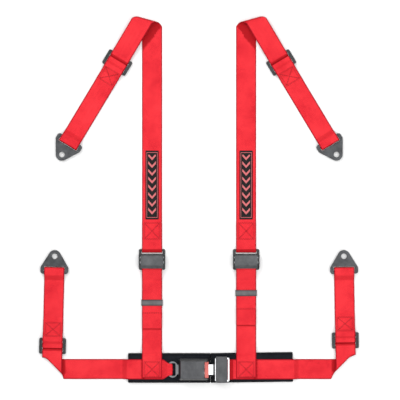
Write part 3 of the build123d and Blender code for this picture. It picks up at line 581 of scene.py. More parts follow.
def make_webbing(name, middle, body, replaces):
    """A strap from its middle surface. UV: U counts widths across, V the same unit along the centre line."""
    rows, columns = middle.shape[:2]
    rings = thickened(middle, web_thickness(across_share))
    around = rings.shape[1]
    steps = np.linalg.norm(np.diff(middle[:, columns // 2], axis=0), axis=1)
    length = np.concatenate([[0], np.cumsum(steps)])
    u = (across_share + 1) / 2
    u = np.concatenate([u, u[::-1]])
    uv = np.stack(np.broadcast_arrays(u[None, :], length[:, None] / WEB_WIDTH), axis=2)
    faces = grid_faces(rows, around, wrap=True).tolist()
    column = np.arange(columns - 1)
    cap = np.stack([column, column + 1, around - 2 - column, around - 1 - column], axis=1)
    faces += cap.tolist() + (cap[:, ::-1] + (rows - 1) * around).tolist()
    piece = make_piece(name, rings, faces, red_webbing, body, uv)
    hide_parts(*replaces)
    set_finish(piece, "webbing")
    print(f"{name}: {length[-1]:.0f} mm of webbing, {len(faces)} faces")


def heading_vector(heading):
    """The level unit vector at that many degrees from the X axis."""
    return np.array([np.cos(np.radians(heading)), np.sin(np.radians(heading)), 0.0])


def run_surface(start, heading, line):
    """The middle surface of a ribbon whose side view is the line, laid along a heading from a start."""
    ahead = heading_vector(heading)
    aside = np.cross(ahead, UP)
    centre = np.array([*start[:2], 0.0]) + line[:, :1] * ahead + line[:, 1:] * UP
    return centre[:, None, :] + aside * COLUMN_OFFSET[None, :, None]


# %% [markdown]
# Real webbing never lies dead flat. A slow ripple lifts it by under a millimetre on its free stretches and
# dies away near the hardware and where a keeper slides. It is a function of the place on the table, so
# layers that lie on each other lift together.

# %% The ripple of a loose strap
FREE_SPANS = [  # centre x, centre y, half sizes in x and y: upper straps, lower straps, lap belts
    (-116, 275, 40, 130), (119, 275, 40, 130),
    (-116, -88, 40, 34), (119, -88, 40, 34),
    (-265, -425, 70, 40), (300, -425, 45, 40),
]
RIPPLE, WAVE_LEVEL, WAVE_HEIGHT = 0.55, 1.1, 0.5


def ripple(x, y):
    """How far the webbing lifts at a place.

    Two slow waves run about a level just over their height, faded out to nothing at each span's edges."""
    lift = np.zeros_like(x)
    for cx, cy, half_x, half_y in FREE_SPANS:
        fade = np.clip(1 - ((x - cx) / half_x) ** 2, 0, 1) * np.clip(1 - ((y - cy) / half_y) ** 2, 0, 1)
        slanting, steeper = np.sin(x / 14.0 + y / 31.0), np.sin(y / 19.0 - x / 23.0 + 1.3)
        lift += fade * (WAVE_LEVEL + slanting * WAVE_HEIGHT + steeper * WAVE_HEIGHT) * RIPPLE
    return lift


def rippled(middle):
    lifted = middle.copy()
    lifted[:, :, 2] += ripple(middle[:, :, 0], middle[:, :, 1])
    return lifted


# %% [markdown]
# ### Where the straps run
#
# The anchor holes, slides and adjusters are in the frame, so the straps are laid between them. A tab's
# joint axis lies across its strap, which gives the strap's heading.

# %% Places read from the frame
def box_of(node):
    """A node's lowest and highest corners, in millimetres."""
    low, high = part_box(node)
    return np.array(low) / MM, np.array(high) / MM


def centre_of(node):
    low, high = box_of(node)
    return (low + high) / 2


ENDS = ("left_shoulder", "right_shoulder", "left_lap", "right_lap")
mounts = {mount["name"]: mount for mount in frame["record"]["mounts"]}
joints = {joint["name"]: joint for joint in frame["record"]["behaviour"]["joints"]}
HOLE = {end: np.array(mounts[f"{end}_bolt_hole"]["pos_m"]) / MM for end in ENDS}
SWING_AXIS = {end: np.array(joints[f"{end}_tab_swing"]["axis"]) for end in ENDS}
HEADING = {end: np.degrees(np.arctan2(axis[0], -axis[1])) % 360 for end, axis in SWING_AXIS.items()}
SLIDE_CENTRE = {end: centre_of(f"{end}_slide") for end in ENDS}
STRAP_X = {side: centre_of(f"{side}_adjuster_frame")[0] for side in SIDES}
ADJUSTER_Y = centre_of("left_adjuster_frame")[1]
LAP_Y = centre_of("buckle_base")[1]
print({end: round(float(heading), 1) for end, heading in HEADING.items()})

# %% [markdown]
# ### The fold
#
# A strap that is turned over lies flat, goes half way round a level axis, and lies flat again on top of
# itself. Paper does the same. Measure a point's distance past the axis: until it reaches the axis it stays
# flat, round the turn that distance is an arc, and after half a turn it runs back. Distances along the axis
# never change, so cloth isn't stretched.

# %% Folding a strip over a level axis
FOLD_REACH = 9.0  # the turned stretch starts and ends this far from the fold's axis
FOLD_RADIUS = {"shoulder": 7.5 - WEB / 2, "lap": 4.4 - WEB / 2}
FOLD_AT = {  # a point under each fold's axis
    "left_shoulder": (-128.0, 441.3),
    "right_shoulder": (131.0, 441.3),
    "left_lap": (-358.5, -413.3),
    "right_lap": (356.0, -410.3),
}


def crossing(point, heading, axis_point, axis):
    """Where a line of that heading, seen from above, crosses the fold's axis."""
    ahead = heading_vector(heading)
    across = np.array([-axis[1], axis[0], 0.0])
    gap = np.array([axis_point[0] - point[0], axis_point[1] - point[1], 0.0])
    return np.array([*point[:2], 0.0]) + ahead * (gap @ across) / (ahead @ across)


def start_of(end):
    """Where a strap's lower run is measured from, and its heading."""
    side, place = end.split("_")
    if place == "shoulder":
        return (STRAP_X[side], 0.0), 90.0
    return (0.0, LAP_Y), 180.0 if side == "left" else 0.0


def fold_facts(end):
    """Where the fold's axis lies and runs, and where the strap's middle comes to it and leaves it."""
    start, heading_in = start_of(end)
    outward = heading_vector(heading_in) - heading_vector(HEADING[end])
    outward /= np.linalg.norm(outward)
    axis = np.cross(UP, outward)
    entry = crossing(start, heading_in, FOLD_AT[end], axis)
    leave = crossing(HOLE[end], HEADING[end], FOLD_AT[end], axis)
    return {"heading_in": heading_in, "outward": outward, "axis": axis, "entry": entry, "leave": leave,
            "radius": FOLD_RADIUS[end.split("_")[1]]}


def fold_surface(fold, drop):
    """The middle surface of the turned stretch, from FOLD_REACH before the axis to FOLD_REACH after it.

    drop is how much lower than the top of the turn the strap has become at its far end."""
    ahead = heading_vector(fold["heading_in"])
    aside = np.cross(ahead, UP)
    radius = fold["radius"]
    lean = ahead @ fold["outward"]
    turn_length = np.pi * radius / lean
    rows = int((2 * FOLD_REACH + turn_length) / 1.5)
    distance = np.linspace(-FOLD_REACH, turn_length + FOLD_REACH, rows)[:, None]
    past = distance * lean + COLUMN_OFFSET * (aside @ fold["outward"])
    level = distance * (ahead @ fold["axis"]) + COLUMN_OFFSET * (aside @ fold["axis"])
    angle = np.clip(past / radius, 0, np.pi)
    beyond = np.clip(past - np.pi * radius, 0, None)
    out = np.where(past < 0, past, radius * np.sin(angle) - beyond)
    height = radius * (1 - np.cos(angle)) + WEB / 2
    natural = turn_length * (ahead @ fold["axis"])
    wanted = (fold["leave"] - fold["entry"]) @ fold["axis"]
    level += (wanted - natural) * (angle / np.pi)
    height -= drop * np.clip(beyond / (2 * FOLD_REACH * lean), 0, 1)
    place = fold["entry"] + fold["outward"] * out[:, :, None] + fold["axis"] * level[:, :, None]
    place[:, :, 2] = height
    return place


FOLDS = {end: fold_facts(end) for end in ENDS}
print("fold leans:", {end: round(float(np.degrees(np.arccos(
    heading_vector(f["heading_in"]) @ f["outward"]))), 1) for end, f in FOLDS.items()})

# %% [markdown]
# ### The end of a strap
#
# After the fold, the strap goes over and under the three bars of its slide, down to the tab, round the
# tab's bar, and back over itself to be sewn round the slide's middle bar. Each layer adds its own thickness
# and a little air.

# %% The end of a strap, seen from its side
LAY = 0.2
LIFT = WEB + LAY
SOFT_BEND = 9  # where a layer eases down on the one below
SLIDE_LENGTH, OUTER_BAR, CENTRE_BAR, SLIDE_THICK = 40.0, 6.0, 8.0, 2.5
SLIDE_SLOT = (SLIDE_LENGTH - 2 * OUTER_BAR - CENTRE_BAR) / 2
OVER_BARS = 2 * LIFT + SLIDE_THICK + LAY
SEWN_TAIL = 42.0
TAB_AXIS, TAB_SWING_R, TAB_CROWN = 40.75, 3.75, 27.0


def end_facts(end):
    """Distances along the end of a strap, counted from the fold's axis."""
    ahead = heading_vector(HEADING[end])
    leave = FOLDS[end]["leave"]
    return {"length": (HOLE[end] - leave) @ ahead, "slide": (SLIDE_CENTRE[end] - leave) @ ahead}


def end_line(end, first):
    """The underside of the strap's end: (distance, height, optional bend) from the fold to the sewn tail."""
    facts = end_facts(end)
    slide, length = facts["slide"], facts["length"]
    half, inner = SLIDE_LENGTH / 2, CENTRE_BAR / 2
    under = [
        (slide - half - 1, OVER_BARS), (slide - inner - SLIDE_SLOT + 0.5, OVER_BARS),
        (slide - inner - 1.5, 0), (slide + inner + 1.5, 0),
        (slide + inner + SLIDE_SLOT - 0.5, OVER_BARS), (slide + half + 1, OVER_BARS),
        (slide + half + 16, 0),
    ]
    loop_top, loop_foot = 2 * (TAB_SWING_R + WEB), length - TAB_AXIS - TAB_SWING_R - 2
    crown, wrap = length - TAB_CROWN, slide - inner - LAY - WEB
    tail_end, bar_top = slide + half + SEWN_TAIL, OVER_BARS + WEB
    over = raised([*under[3:], (loop_foot, 0)], 2 * LIFT + WEB)
    between = raised([*under[2:], (loop_foot, 0)], LIFT)
    round_bar = TAB_SWING_R + WEB - 0.05
    return [
        *first, *under, (crown, 0, round_bar), (crown, loop_top, round_bar),
        (loop_foot, loop_top, SOFT_BEND), (loop_foot - 14, LIFT + WEB, SOFT_BEND),
        (tail_end + 8, LIFT + WEB), (tail_end, over[3][1]), *over[3:0:-1],
        (slide + inner + 1, bar_top), (wrap, bar_top, 1.6), (wrap, LIFT, 1.6), *between[1:5],
        (tail_end - 2, LIFT),
    ]


def middle_line(points, bend=2.4):
    """The middle of the webbing, half its thickness inside the face that the points describe."""
    line = bent_line(points, bend)
    return line + line_normals(line) * WEB / 2


def end_surface(end):
    """The middle surface after the fold, starting FOLD_REACH past the axis."""
    top = 2 * FOLDS[end]["radius"]
    line = middle_line(end_line(end, [(0, top), (6, top)] if end.endswith("shoulder") else [(0, top)]))
    line = line[np.argmax(line[:, 0] > FOLD_REACH):]
    surface = run_surface(FOLDS[end]["leave"], HEADING[end], line)
    return surface[:, ::-1], top + WEB / 2 - line[0, 1]


# %% [markdown]
# ### Shoulder straps
#
# Each one starts at the adjuster, where it is sewn round the loop bar, runs up, is folded over and ends at
# its tab.

# %% Both shoulder straps
SHEET = 2.0
CROWN_REACH = 3.6  # from a bar's middle or edge to the crown of the webbing round it
LOOP_BAR_Y = 20.5
ADJUSTER_LENGTH = 52.0
LABEL_LOW_Y = box_of("left_label")[0][1]


def shoulder_line(fold):
    """From the sewn tail under the strap, round the loop bar, and up to the fold."""
    crown = ADJUSTER_Y + LOOP_BAR_Y - CROWN_REACH
    over_bar = LIFT + SHEET + LAY + WEB
    tail = LABEL_LOW_Y - 4
    top = ADJUSTER_Y + ADJUSTER_LENGTH / 2
    points = [
        (fold["entry"][1] + 40, WEB), (tail + 2, WEB, 30), (tail - 6, LIFT + WEB, 30),
        (top + 8, LIFT + WEB, SOFT_BEND),
        (top + 2, over_bar, 6), (crown, over_bar, 2.5), (crown, 0, 2.5), (tail - 8, 0),
    ]
    return middle_line(points, 4.0)[::-1]


def make_folded_strap(name, end, line, stop, shape=None):
    """One ribbon from the lower run, the turned stretch and the strap's end.

    The lower run is cut FOLD_REACH before stop. shape may change it, given its surface and distances."""
    line = line[:len(line) - np.argmax(line[::-1, 0] < stop - FOLD_REACH)]
    lower = run_surface(*start_of(end), line)
    if shape:
        lower = shape(lower, line[:, 0])
    upper, drop = end_surface(end)
    turn = fold_surface(FOLDS[end], drop)
    middle = rippled(np.vstack([lower, turn[1:-1], upper]))
    nodes = [f"{end}_webbing", f"{end}_fold", f"{end}_end_webbing"]
    make_webbing(name, middle, BODY[end.split("_")[0]], nodes)


for side_name in SIDES:
    strap_end = f"{side_name}_shoulder"
    fold = FOLDS[strap_end]
    make_folded_strap(f"{side_name}_shoulder_strap", strap_end, shoulder_line(fold), fold["entry"][1])

# %% [markdown]
# ### Lap belts and risers
#
# A lap belt goes up onto its pad, round a bar of the buckle or the tongue, and back over itself. The
# buckle's ring is narrower than the webbing, so there the belt is gathered: its width shrinks and the cloth
# rises in long pleats. The riser is the lower strap. It is sewn to the belt, goes up through the adjuster
# and comes back as the pull tail.

# %% Both lap belts
PAD_THICK = 6.0
ON_PAD = PAD_THICK + LAY
FRAME_Z, BLADE_THICK = 10.2, 2.5
BLADE_Z = FRAME_Z + SHEET + 0.3
RING_BAR = (-76.0, -68.0)
FRONT_SLOT, REAR_SLOT, TONGUE_END = (46.0, 55.0), (63.0, 73.0), 77.0
GATHERED = 30.0
GATHER_FROM, GATHER_TO = STRAP_X["left"] + WEB_WIDTH / 2, RING_BAR[1] - 0.4
PLEAT, ROUNDING = 0.8, 2.2


def bar_points(side):
    """Where the belt goes round its bar. Distances run towards the buckle, on both sides."""
    riser_edge = abs(STRAP_X[side]) - WEB_WIDTH / 2
    if side == "left":
        under, over, crown = FRAME_Z - LAY - WEB, FRAME_Z + SHEET + LAY + WEB, RING_BAR[1] + CROWN_REACH
        return [
            (1 - riser_edge, ON_PAD), (RING_BAR[0] - 3, under), (crown, under, 2.4), (crown, over, 2.4),
            (RING_BAR[0] - WEB, over), (1 - riser_edge, ON_PAD + LIFT + WEB),
        ]
    below, above = BLADE_Z - LIFT - LAY - WEB, BLADE_Z + BLADE_THICK + LAY + WEB
    crown = CROWN_REACH - FRONT_SLOT[1]
    return [
        (4 - riser_edge, ON_PAD), (-TONGUE_END - 2, below), (crown, below, 3), (crown, above, 3),
        (-REAR_SLOT[0] - 0.2, above), (-REAR_SLOT[1] + 1.4, below + LIFT + WEB),
        (-TONGUE_END - 2.6, below + LIFT + WEB), (3.4 - riser_edge, ON_PAD + LIFT + WEB),
    ]


def lap_line(side, fold):
    """From the sewn end, round the bar, and out along the table to the fold."""
    sign = SIDES[side]
    low, high = box_of(f"{side}_pad")
    pad_end = high[0] * -sign if side == "right" else low[0]
    sewn_end = -STRAP_X[side] * sign - 20
    points = [
        (fold["entry"][0] * -sign - 30, 0), (pad_end - 14, 0), (pad_end - 2, ON_PAD), *bar_points(side),
        (sewn_end, ON_PAD + LIFT + WEB),
    ]
    return middle_line(points, 3.0)[::-1] * (-1, 1)


def gathered(middle, distance):
    """Narrows the belt towards the ring, rounds its outline and raises pleats on the outside of the turn."""
    share = np.clip((-distance - GATHER_FROM) / (GATHER_TO - GATHER_FROM), 0, 1)
    share = share ** 2 * (3 - 2 * share)
    narrow = 1 - (1 - GATHERED / WEB_WIDTH) * share
    middle = middle.copy()
    middle[:, :, 1] = LAP_Y + (middle[:, :, 1] - LAP_Y) * narrow[:, None]
    middle[:, :, 0] -= ROUNDING * share[:, None] * across_share[None, :] ** 4
    pleats = 0.5 + 0.5 * np.cos(across_share * 3 * np.pi)
    return middle - surface_normals(middle) * (share[:, None] * pleats[None, :] * PLEAT)[:, :, None]


for side_name, sign in SIDES.items():
    strap_end = f"{side_name}_lap"
    fold = FOLDS[strap_end]
    make_folded_strap(f"{side_name}_lap_belt", strap_end, lap_line(side_name, fold),
                      fold["entry"][0] * sign, gathered if side_name == "left" else None)

# %% Both risers
PAD_EDGE = box_of("left_pad")[1][1]
HEM_TOP_Y = {"left": -280.0, "right": -270.0}
TAIL_END_Y = {"left": -324.0, "right": -315.0}
TURN_BAR_Y, TURN_BAR_R = -7.0, 3.0
RISER_IN_Z = LIFT + SHEET + LAY
TAIL_OUT_Z = RISER_IN_Z + 2 * (WEB + LAY + TURN_BAR_R)
RISER_Z = 1.4
TAIL_TOP = RISER_Z + LIFT + WEB


def riser_line(side):
    """From the box seam on the lap belt, up to the adjuster, round its turn bar, and down as the tail."""
    turn = TURN_BAR_R + LAY + WEB
    back, hem, last = ADJUSTER_Y - ADJUSTER_LENGTH / 2, HEM_TOP_Y[side], TAIL_END_Y[side]
    bar = ADJUSTER_Y + TURN_BAR_Y + turn
    on_belt = ON_PAD + 2 * LIFT
    return middle_line([
        (LAP_Y - WEB_WIDTH / 2 + 4, on_belt), (LAP_Y + WEB_WIDTH / 2 + 3, on_belt),
        (PAD_EDGE - 3, ON_PAD + 0.1), (PAD_EDGE + 1, ON_PAD + 0.1), (PAD_EDGE + 36, RISER_Z),
        (back - 12, RISER_Z), (back - 2, RISER_IN_Z), (bar, RISER_IN_Z, turn - 0.05),
        (bar, TAIL_OUT_Z, turn - 0.05), (ADJUSTER_Y - 24, TAIL_OUT_Z), (back - 26, TAIL_TOP),
        (hem + 6, TAIL_TOP), (hem - 2, TAIL_TOP + LIFT),
        (last, TAIL_TOP + LIFT, 1.45), (last, TAIL_TOP - WEB, 1.45), (hem - 6, TAIL_TOP - WEB),
    ], 4.0)


for side_name in SIDES:
    riser = rippled(run_surface(*start_of(f"{side_name}_shoulder"), riser_line(side_name)))
    make_webbing(f"{side_name}_riser", riser, BODY[side_name], [f"{side_name}_riser_webbing"])

# %% [markdown]
# ## Pads
#
# The two pads are sheets of foam in a cloth cover, with a tape bound round the edge. Cloth simulation has
# nothing to do here, as the foam holds the cover flat. So a pad is rings of a rounded rectangle: each ring
# has an inset from the edge and a height, and together they follow the section of a soft edge that swells
# to a level top.

# %% Rings of a rounded rectangle
PAD_CORNER = 2.5
LEAST_CORNER = 0.6
CORNER_POINTS, SIDE_POINTS = 9, 24


def rounded_ring(half_x, half_y, radius):
    """Points round a rounded rectangle, anticlockwise. A corner is an arc; a side is evenly divided."""
    centres = np.array([(1, 1), (-1, 1), (-1, -1), (1, -1)]) * (half_x - radius, half_y - radius)
    angle = np.linspace(0, np.pi / 2, CORNER_POINTS)
    points = []
    for i, centre in enumerate(centres):
        turn = angle + i * np.pi / 2
        arc = centre + radius * np.stack([np.cos(turn), np.sin(turn)], axis=1)
        points.append(arc)
        after = centres[(i + 1) % 4] + radius * np.array([np.cos(turn[-1]), np.sin(turn[-1])])
        share = np.linspace(0, 1, SIDE_POINTS + 2)[1:-1, None]
        points.append(arc[-1] + (after - arc[-1]) * share)
    return np.vstack(points)


def ringed(half_x, half_y, radius, section):
    """Rings for every (inset, height) of a section."""
    rings = []
    for inset, height in section:
        ring = rounded_ring(half_x - inset, half_y - inset, max(radius - inset, LEAST_CORNER))
        rings.append(np.column_stack([ring, np.full(len(ring), height)]))
    return np.array(rings)


def make_ringed(name, rings, finish, body, uv=None, loop=False):
    """A piece over stacked rings, from the bottom up. Caps close both ends, or a loop joins last to first."""
    rows, around = rings.shape[:2]
    faces = grid_faces(rows, around, wrap=True)[:, ::-1].tolist()
    first = np.arange(around)
    last = first + (rows - 1) * around
    if loop:
        faces += np.stack([last, np.roll(last, -1), np.roll(first, -1), first], axis=1).tolist()
    else:
        faces += [first[::-1].tolist(), last.tolist()]
    print(f"{name}: {rows} rings, {len(faces)} faces")
    return make_piece(name, rings, faces, finish, body, uv)


def plan_of(node):
    """A node's half sizes and its centre, seen from above."""
    low, high = box_of(node)
    return (high - low)[:2] / 2, (low + high)[:2] / 2


def turned(points, centre, degrees):
    """Turns points about a vertical axis through a centre."""
    angle = np.radians(degrees)
    rotation = np.array([[np.cos(angle), np.sin(angle)], [-np.sin(angle), np.cos(angle)]])
    moved = points.copy()
    moved[..., :2] = (points[..., :2] - centre) @ rotation + centre
    return moved


# %% Both pads
PAD_TURN = {"left": 0.0, "right": 0.75}
PAD_SHIFT = {"left": 0.0, "right": box_of("left_pad")[1][0] - box_of("right_pad")[0][0] + 0.15}
MEETING = np.array([30.0, box_of("left_pad")[1][1]])
PAD_SWELL = [
    (14.0, 0.0), (2.2, 0.1), (0.9, 0.6), (0.5, 1.6), (0.45, 2.8), (0.6, 4.0), (1.3, 4.9), (2.8, 5.35),
    (5.5, 5.5), (7.0, 5.3), (9.0, 5.6), (13.0, 5.85), (20.0, 5.97), (28.0, 6.0),
]
TAPE = [
    (5.4, 0.0), (1.2, 0.0), (0.25, 0.8), (0.0, 2.2), (0.0, 3.8), (0.3, 5.1), (1.1, 5.8),
    (2.4, 6.05), (4.6, 6.08), (5.6, 5.75), (5.4, 5.2), (1.6, 4.6), (0.9, 3.0), (1.3, 0.9),
]


def make_pad(side):
    """The pad and its tape. Gives back the function that carries points from its middle to its place."""
    half, centre = plan_of(f"{side}_pad")

    def placed(points):
        return turned(points + (*centre, 0), MEETING, PAD_TURN[side]) + (PAD_SHIFT[side], 0, 0)

    rings = placed(ringed(*half, PAD_CORNER, PAD_SWELL))
    pad = make_ringed(f"{side}_foam_pad", rings, pad_cloth, BODY[side])
    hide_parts(f"{side}_pad")
    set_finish(pad, "pad_fabric")
    rings = placed(ringed(*half, PAD_CORNER, TAPE))
    tape = make_ringed(f"{side}_pad_tape", rings, pad_binding, BODY[side], loop=True)
    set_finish(tape, "pad_fabric")
    return placed


PAD_PLACE = {side_name: make_pad(side_name) for side_name in SIDES}

# %% [markdown]
# ## Painted shade where the straps dip
#
# The tops of the straps and of the hardware are first gathered into a height map, a grid of small cells
# seen from above. A point dips by how much higher its neighbourhood is, less a slope for the distance.
# Steep places, such as the outside of a fold, count as well. The result is painted shade: it is stored on
# every strap, and its material paints the red darker with it.

# %% The painted shade of every strap
CELL = 2.0
NEAR = range(-7, 8)  # cells on each side that count as near
SLOPE = 0.5
SHADE_FROM_DEPTH, FULL_SHADE_DEPTH = 0.8, 2.2
STEEP_FROM, STEEP_GAIN = 0.95, 4.5
MARGIN = 20
ALONG_EDGE = np.linspace(0, 1, 41)[:, None, None]


def read(collection, name, width, kind=np.float32):
    """A property of every item in a mesh's collection, one row per item."""
    values = np.empty(len(collection) * width, kind)
    collection.foreach_get(name, values)
    return values.reshape(-1, width)


def points_of(piece):
    return read(piece.data.vertices, "co", 3) / MM


def outline_of(node):
    """Points spread along every edge of a CAD part, whose flat faces have none of their own."""
    ends = read(node.data.edges, "vertices", 2, np.int32)
    start, stop = np.moveaxis(points_of(node)[ends], 1, 0)
    return (start + (stop - start) * ALONG_EDGE).reshape(-1, 3)


def cells_of(points, origin):
    return tuple(np.floor((points[:, :2] - origin) / CELL).astype(int).T)


def horizon_map(clouds, origin, shape):
    """For every cell, the greatest height near it, each lowered by SLOPE times its distance away."""
    heights = np.zeros(shape)
    for cloud in clouds:
        np.maximum.at(heights, cells_of(cloud, origin), cloud[:, 2])
    horizon = heights.copy()
    for shift in [(i, j) for i in NEAR for j in NEAR]:
        fall = SLOPE * CELL * np.hypot(*shift)
        horizon = np.maximum(horizon, np.roll(heights, shift, (0, 1)) - fall)
    return horizon


straps = [piece for piece in bpy.data.objects if piece.get("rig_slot") == "webbing"]
hardware = [node for node in frame["nodes"].values() if not node.hide_render]
clouds = [points_of(piece) for piece in straps] + [outline_of(node) for node in hardware]
corner = np.min([cloud[:, :2].min(axis=0) for cloud in clouds], axis=0) - MARGIN
reach = np.max([cloud[:, :2].max(axis=0) for cloud in clouds], axis=0) + MARGIN
horizon = horizon_map(clouds, corner, tuple(np.ceil((reach - corner) / CELL).astype(int)))
for piece in straps:
    points = points_of(piece)
    # Painted shade: darker where a point lies below its neighbours or faces steeply sideways
    below = (horizon[cells_of(points, corner)] - points[:, 2] - SHADE_FROM_DEPTH) / FULL_SHADE_DEPTH
    steep = (STEEP_FROM - np.abs(read(piece.data.vertex_normals, "vector", 3)[:, 2])) * STEEP_GAIN
    painted_shade = np.clip(np.maximum(below, steep), 0, 1).astype(np.float32)
    piece.data.attributes.new("painted_shade", "FLOAT", "POINT").data.foreach_set("value", painted_shade)
print("dip on", [piece.name for piece in straps])

# %% [markdown]
# ## The tongue's stop
#
# A rubber block round the tongue's neck stops it from rattling against the buckle's mouth. It is the same
# kind of ringed solid as the pads, only small.

# %% The rubber stop
STOP_X, STOP_HALF, STOP_CORNER = (36.6, 41.0), 15.5, 1.4
STOP_SECTION = [(1.2, -2.0), (0.35, -1.8), (0.0, -1.0), (0.0, 4.4), (0.3, 5.3), (1.0, 5.7)]
stop = ringed((STOP_X[1] - STOP_X[0]) / 2, STOP_HALF, STOP_CORNER, STOP_SECTION)
make_ringed("tongue_stop", stop + (sum(STOP_X) / 2, LAP_Y, BLADE_Z), black_rubber, "tongue_side")

# %% [markdown]
# ## Labels
#
# The label is a satin ribbon with its edges turned under. Its woven marks are plain: a border and a row of
# chevrons. They are worked out in the material from the label's own UV map, so they need no picture.

# %% Both labels
LABEL_UP = WEB + 0.1
LABEL_CORNER = 2.0
LABEL_SECTION = [
    (3.0, 0.0), (0.3, 0.0), (0.0, 0.3), (0.0, 0.6), (0.35, 0.9), (1.6, 0.98), (3.6, 0.8), (6.0, 0.72),
]
CHEVRONS = 8.0
MARK_RED = (0.80, 0.20, 0.21)


def label_finish():
    """Black satin with pale red marks. U and V both run from 0 to 1."""
    recipe = Recipe("woven_label")
    u, v, _ = recipe.split(recipe.coordinates("UV"))
    across, along = recipe.away(u, 0.5), recipe.away(v, 0.5)

    def within(half_across, half_along):
        """1 inside a rectangle round the label's middle, and 0 outside it."""
        return recipe.times(recipe.maths("LESS_THAN", across, half_across),
                            recipe.maths("LESS_THAN", along, half_along))

    climb = recipe.maths("SUBTRACT", recipe.times(v, CHEVRONS / 0.9), recipe.times(across, 1.9))
    stripe = recipe.maths("PINGPONG", recipe.maths("ADD", climb, 0.2), 0.5)
    stripe = recipe.maths("LESS_THAN", stripe, 0.17)
    border = recipe.maths("SUBTRACT", within(0.415, 0.475), within(0.385, 0.468))
    mark = recipe.maths("MAXIMUM", recipe.times(stripe, within(0.29, 0.44)), border)
    weave = plain_weave(recipe, 0.0005)
    dust = recipe.noise(recipe.coordinates(), 90.0, 4.0, 0.6)
    black = recipe.colours(dust, (0.3, (0.004, 0.004, 0.005)), (0.75, (0.014, 0.013, 0.014)))
    red = recipe.colours(weave, (0.1, tuple(0.55 * c for c in MARK_RED)), (0.7, MARK_RED))
    normal = recipe.relief(recipe.blend(weave, mark, 0.4), 0.0002, 0.8)
    return recipe.finish(recipe.mix(mark, black, red), 0.5, normal, Specular_IOR_Level=0.15)


woven_label = label_finish()


for side_name in SIDES:
    half, centre = plan_of(f"{side_name}_label")
    rings = ringed(*half, LABEL_CORNER, LABEL_SECTION)
    uv = rings[:, :, :2] / (2 * half) + 0.5
    rings = rippled(rings + (*centre, LABEL_UP))
    label = make_ringed(f"{side_name}_woven_label", rings, woven_label, BODY[side_name], uv)
    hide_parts(f"{side_name}_label")
    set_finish(label, "label_fabric")

# %% [markdown]
# ## Stitching
#
# Every load in a harness goes through its seams, so they show: a box with a cross at each sewn end, and
# rows at the hems. A stitch is a short capsule of thread, a little sunk at both ends. A seam is first drawn
# as lines on the strap, in millimetres along and across. Then each line is cut into stitches and they are
# set on the top of the cloth.

# %% Stitches along lines
THREAD_R, FINE_THREAD_R = 0.5, 0.3
STITCH, GAP = 3.4, 0.9
SIDES_ROUND, RINGS = 6, 5
BOX_APART = 2.2
RISE, SINK = 0.35, 1.1  # in thread radii: the middle of a stitch lies above the cloth, its ends go under


def stitch_centres(lines):
    """Start and end of every stitch on straight lines given as pairs of points."""
    starts, ends = [], []
    for a, b in lines:
        a, b = np.array(a, float), np.array(b, float)
        length = np.linalg.norm(b - a)
        count = max(1, int(round(length / (STITCH + GAP))))
        step = (b - a) / count
        first = a + step * (np.arange(count)[:, None] + GAP / (STITCH + GAP) / 2)
        starts.append(first)
        ends.append(first + step * STITCH / (STITCH + GAP))
    return np.vstack(starts), np.vstack(ends)


def make_stitches(name, lines, place, finish, body, radius=THREAD_R, slot="webbing"):
    """One mesh with a capsule for every stitch. place carries flat points (n, 2) onto the cloth (n, 3)."""
    starts, ends = stitch_centres(lines)
    share = np.linspace(0, 1, RINGS)
    flat = starts[:, None, :] + (ends - starts)[:, None, :] * share[None, :, None]
    spine = place(flat.reshape(-1, 2)).reshape(len(starts), RINGS, 3)
    along = spine[:, -1] - spine[:, 0]
    along /= np.linalg.norm(along, axis=1)[:, None]
    aside = np.cross(along, UP)
    aside /= np.linalg.norm(aside, axis=1)[:, None]
    sink = radius * SINK * (2 * share - 1) ** 4
    spine[:, :, 2] += radius * RISE - sink
    girth = radius * np.sqrt(np.clip(1 - (2 * share - 1) ** 6, 0.08, 1))
    angle = np.linspace(0, 2 * np.pi, SIDES_ROUND, endpoint=False)
    ring = (np.cos(angle)[:, None] * aside[:, None, :] + np.sin(angle)[:, None] * UP)
    points = spine[:, :, None, :] + ring[:, None, :, :] * girth[None, :, None, None]
    base = np.arange(len(starts))[:, None] * RINGS * SIDES_ROUND
    sides = grid_faces(RINGS, SIDES_ROUND, wrap=True) + base[:, :, None]
    faces = sides.reshape(-1, 4).tolist()
    low = np.arange(SIDES_ROUND)
    for cap in (low, low[::-1] + (RINGS - 1) * SIDES_ROUND):
        faces += (cap + base).tolist()
    piece = make_piece(name, points, faces, finish, body)
    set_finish(piece, slot)
    print(f"{name}: {len(starts)} stitches")


def box_lines(low, high):
    """The four sides of a box between two opposite corners, in (along, across)."""
    (x0, y0), (x1, y1) = low, high
    return [((x0, y0), (x1, y0)), ((x1, y0), (x1, y1)), ((x1, y1), (x0, y1)), ((x0, y1), (x0, y0))]


def box_cross(low, high):
    """A double box with a double cross in it."""
    (x0, y0), (x1, y1) = inner = np.add(low, BOX_APART), np.subtract(high, BOX_APART)
    lines = box_lines(low, high) + box_lines(*inner)
    for shift in (-1.0, 1.0):
        lines += [((x0, y0 + shift), (x1, y1 + shift)), ((x0, y1 + shift), (x1, y0 + shift))]
    return lines


def top_of(line):
    """The height of the uppermost layer's face at a distance, read off a strap's middle line."""
    dense = np.concatenate([np.linspace(a, b, 8) for a, b in zip(line, line[1:])])
    slot = np.round(dense[:, 0]).astype(int)
    base = slot.min()
    heights = np.zeros(slot.max() - base + 1)
    np.maximum.at(heights, slot - base, dense[:, 1] + WEB / 2)
    return lambda distance: np.interp(distance, np.arange(len(heights)) + base, heights)


def on_strap(start, heading, height):
    """A function that carries (along, across) points onto a strap laid from start along a heading."""
    ahead = heading_vector(heading)
    aside = np.cross(ahead, UP)

    def place(flat):
        points = np.array([*start[:2], 0.0]) + flat[:, :1] * ahead + flat[:, 1:] * aside
        points[:, 2] = height(flat[:, 0]) + ripple(points[:, 0], points[:, 1])
        return points

    return place


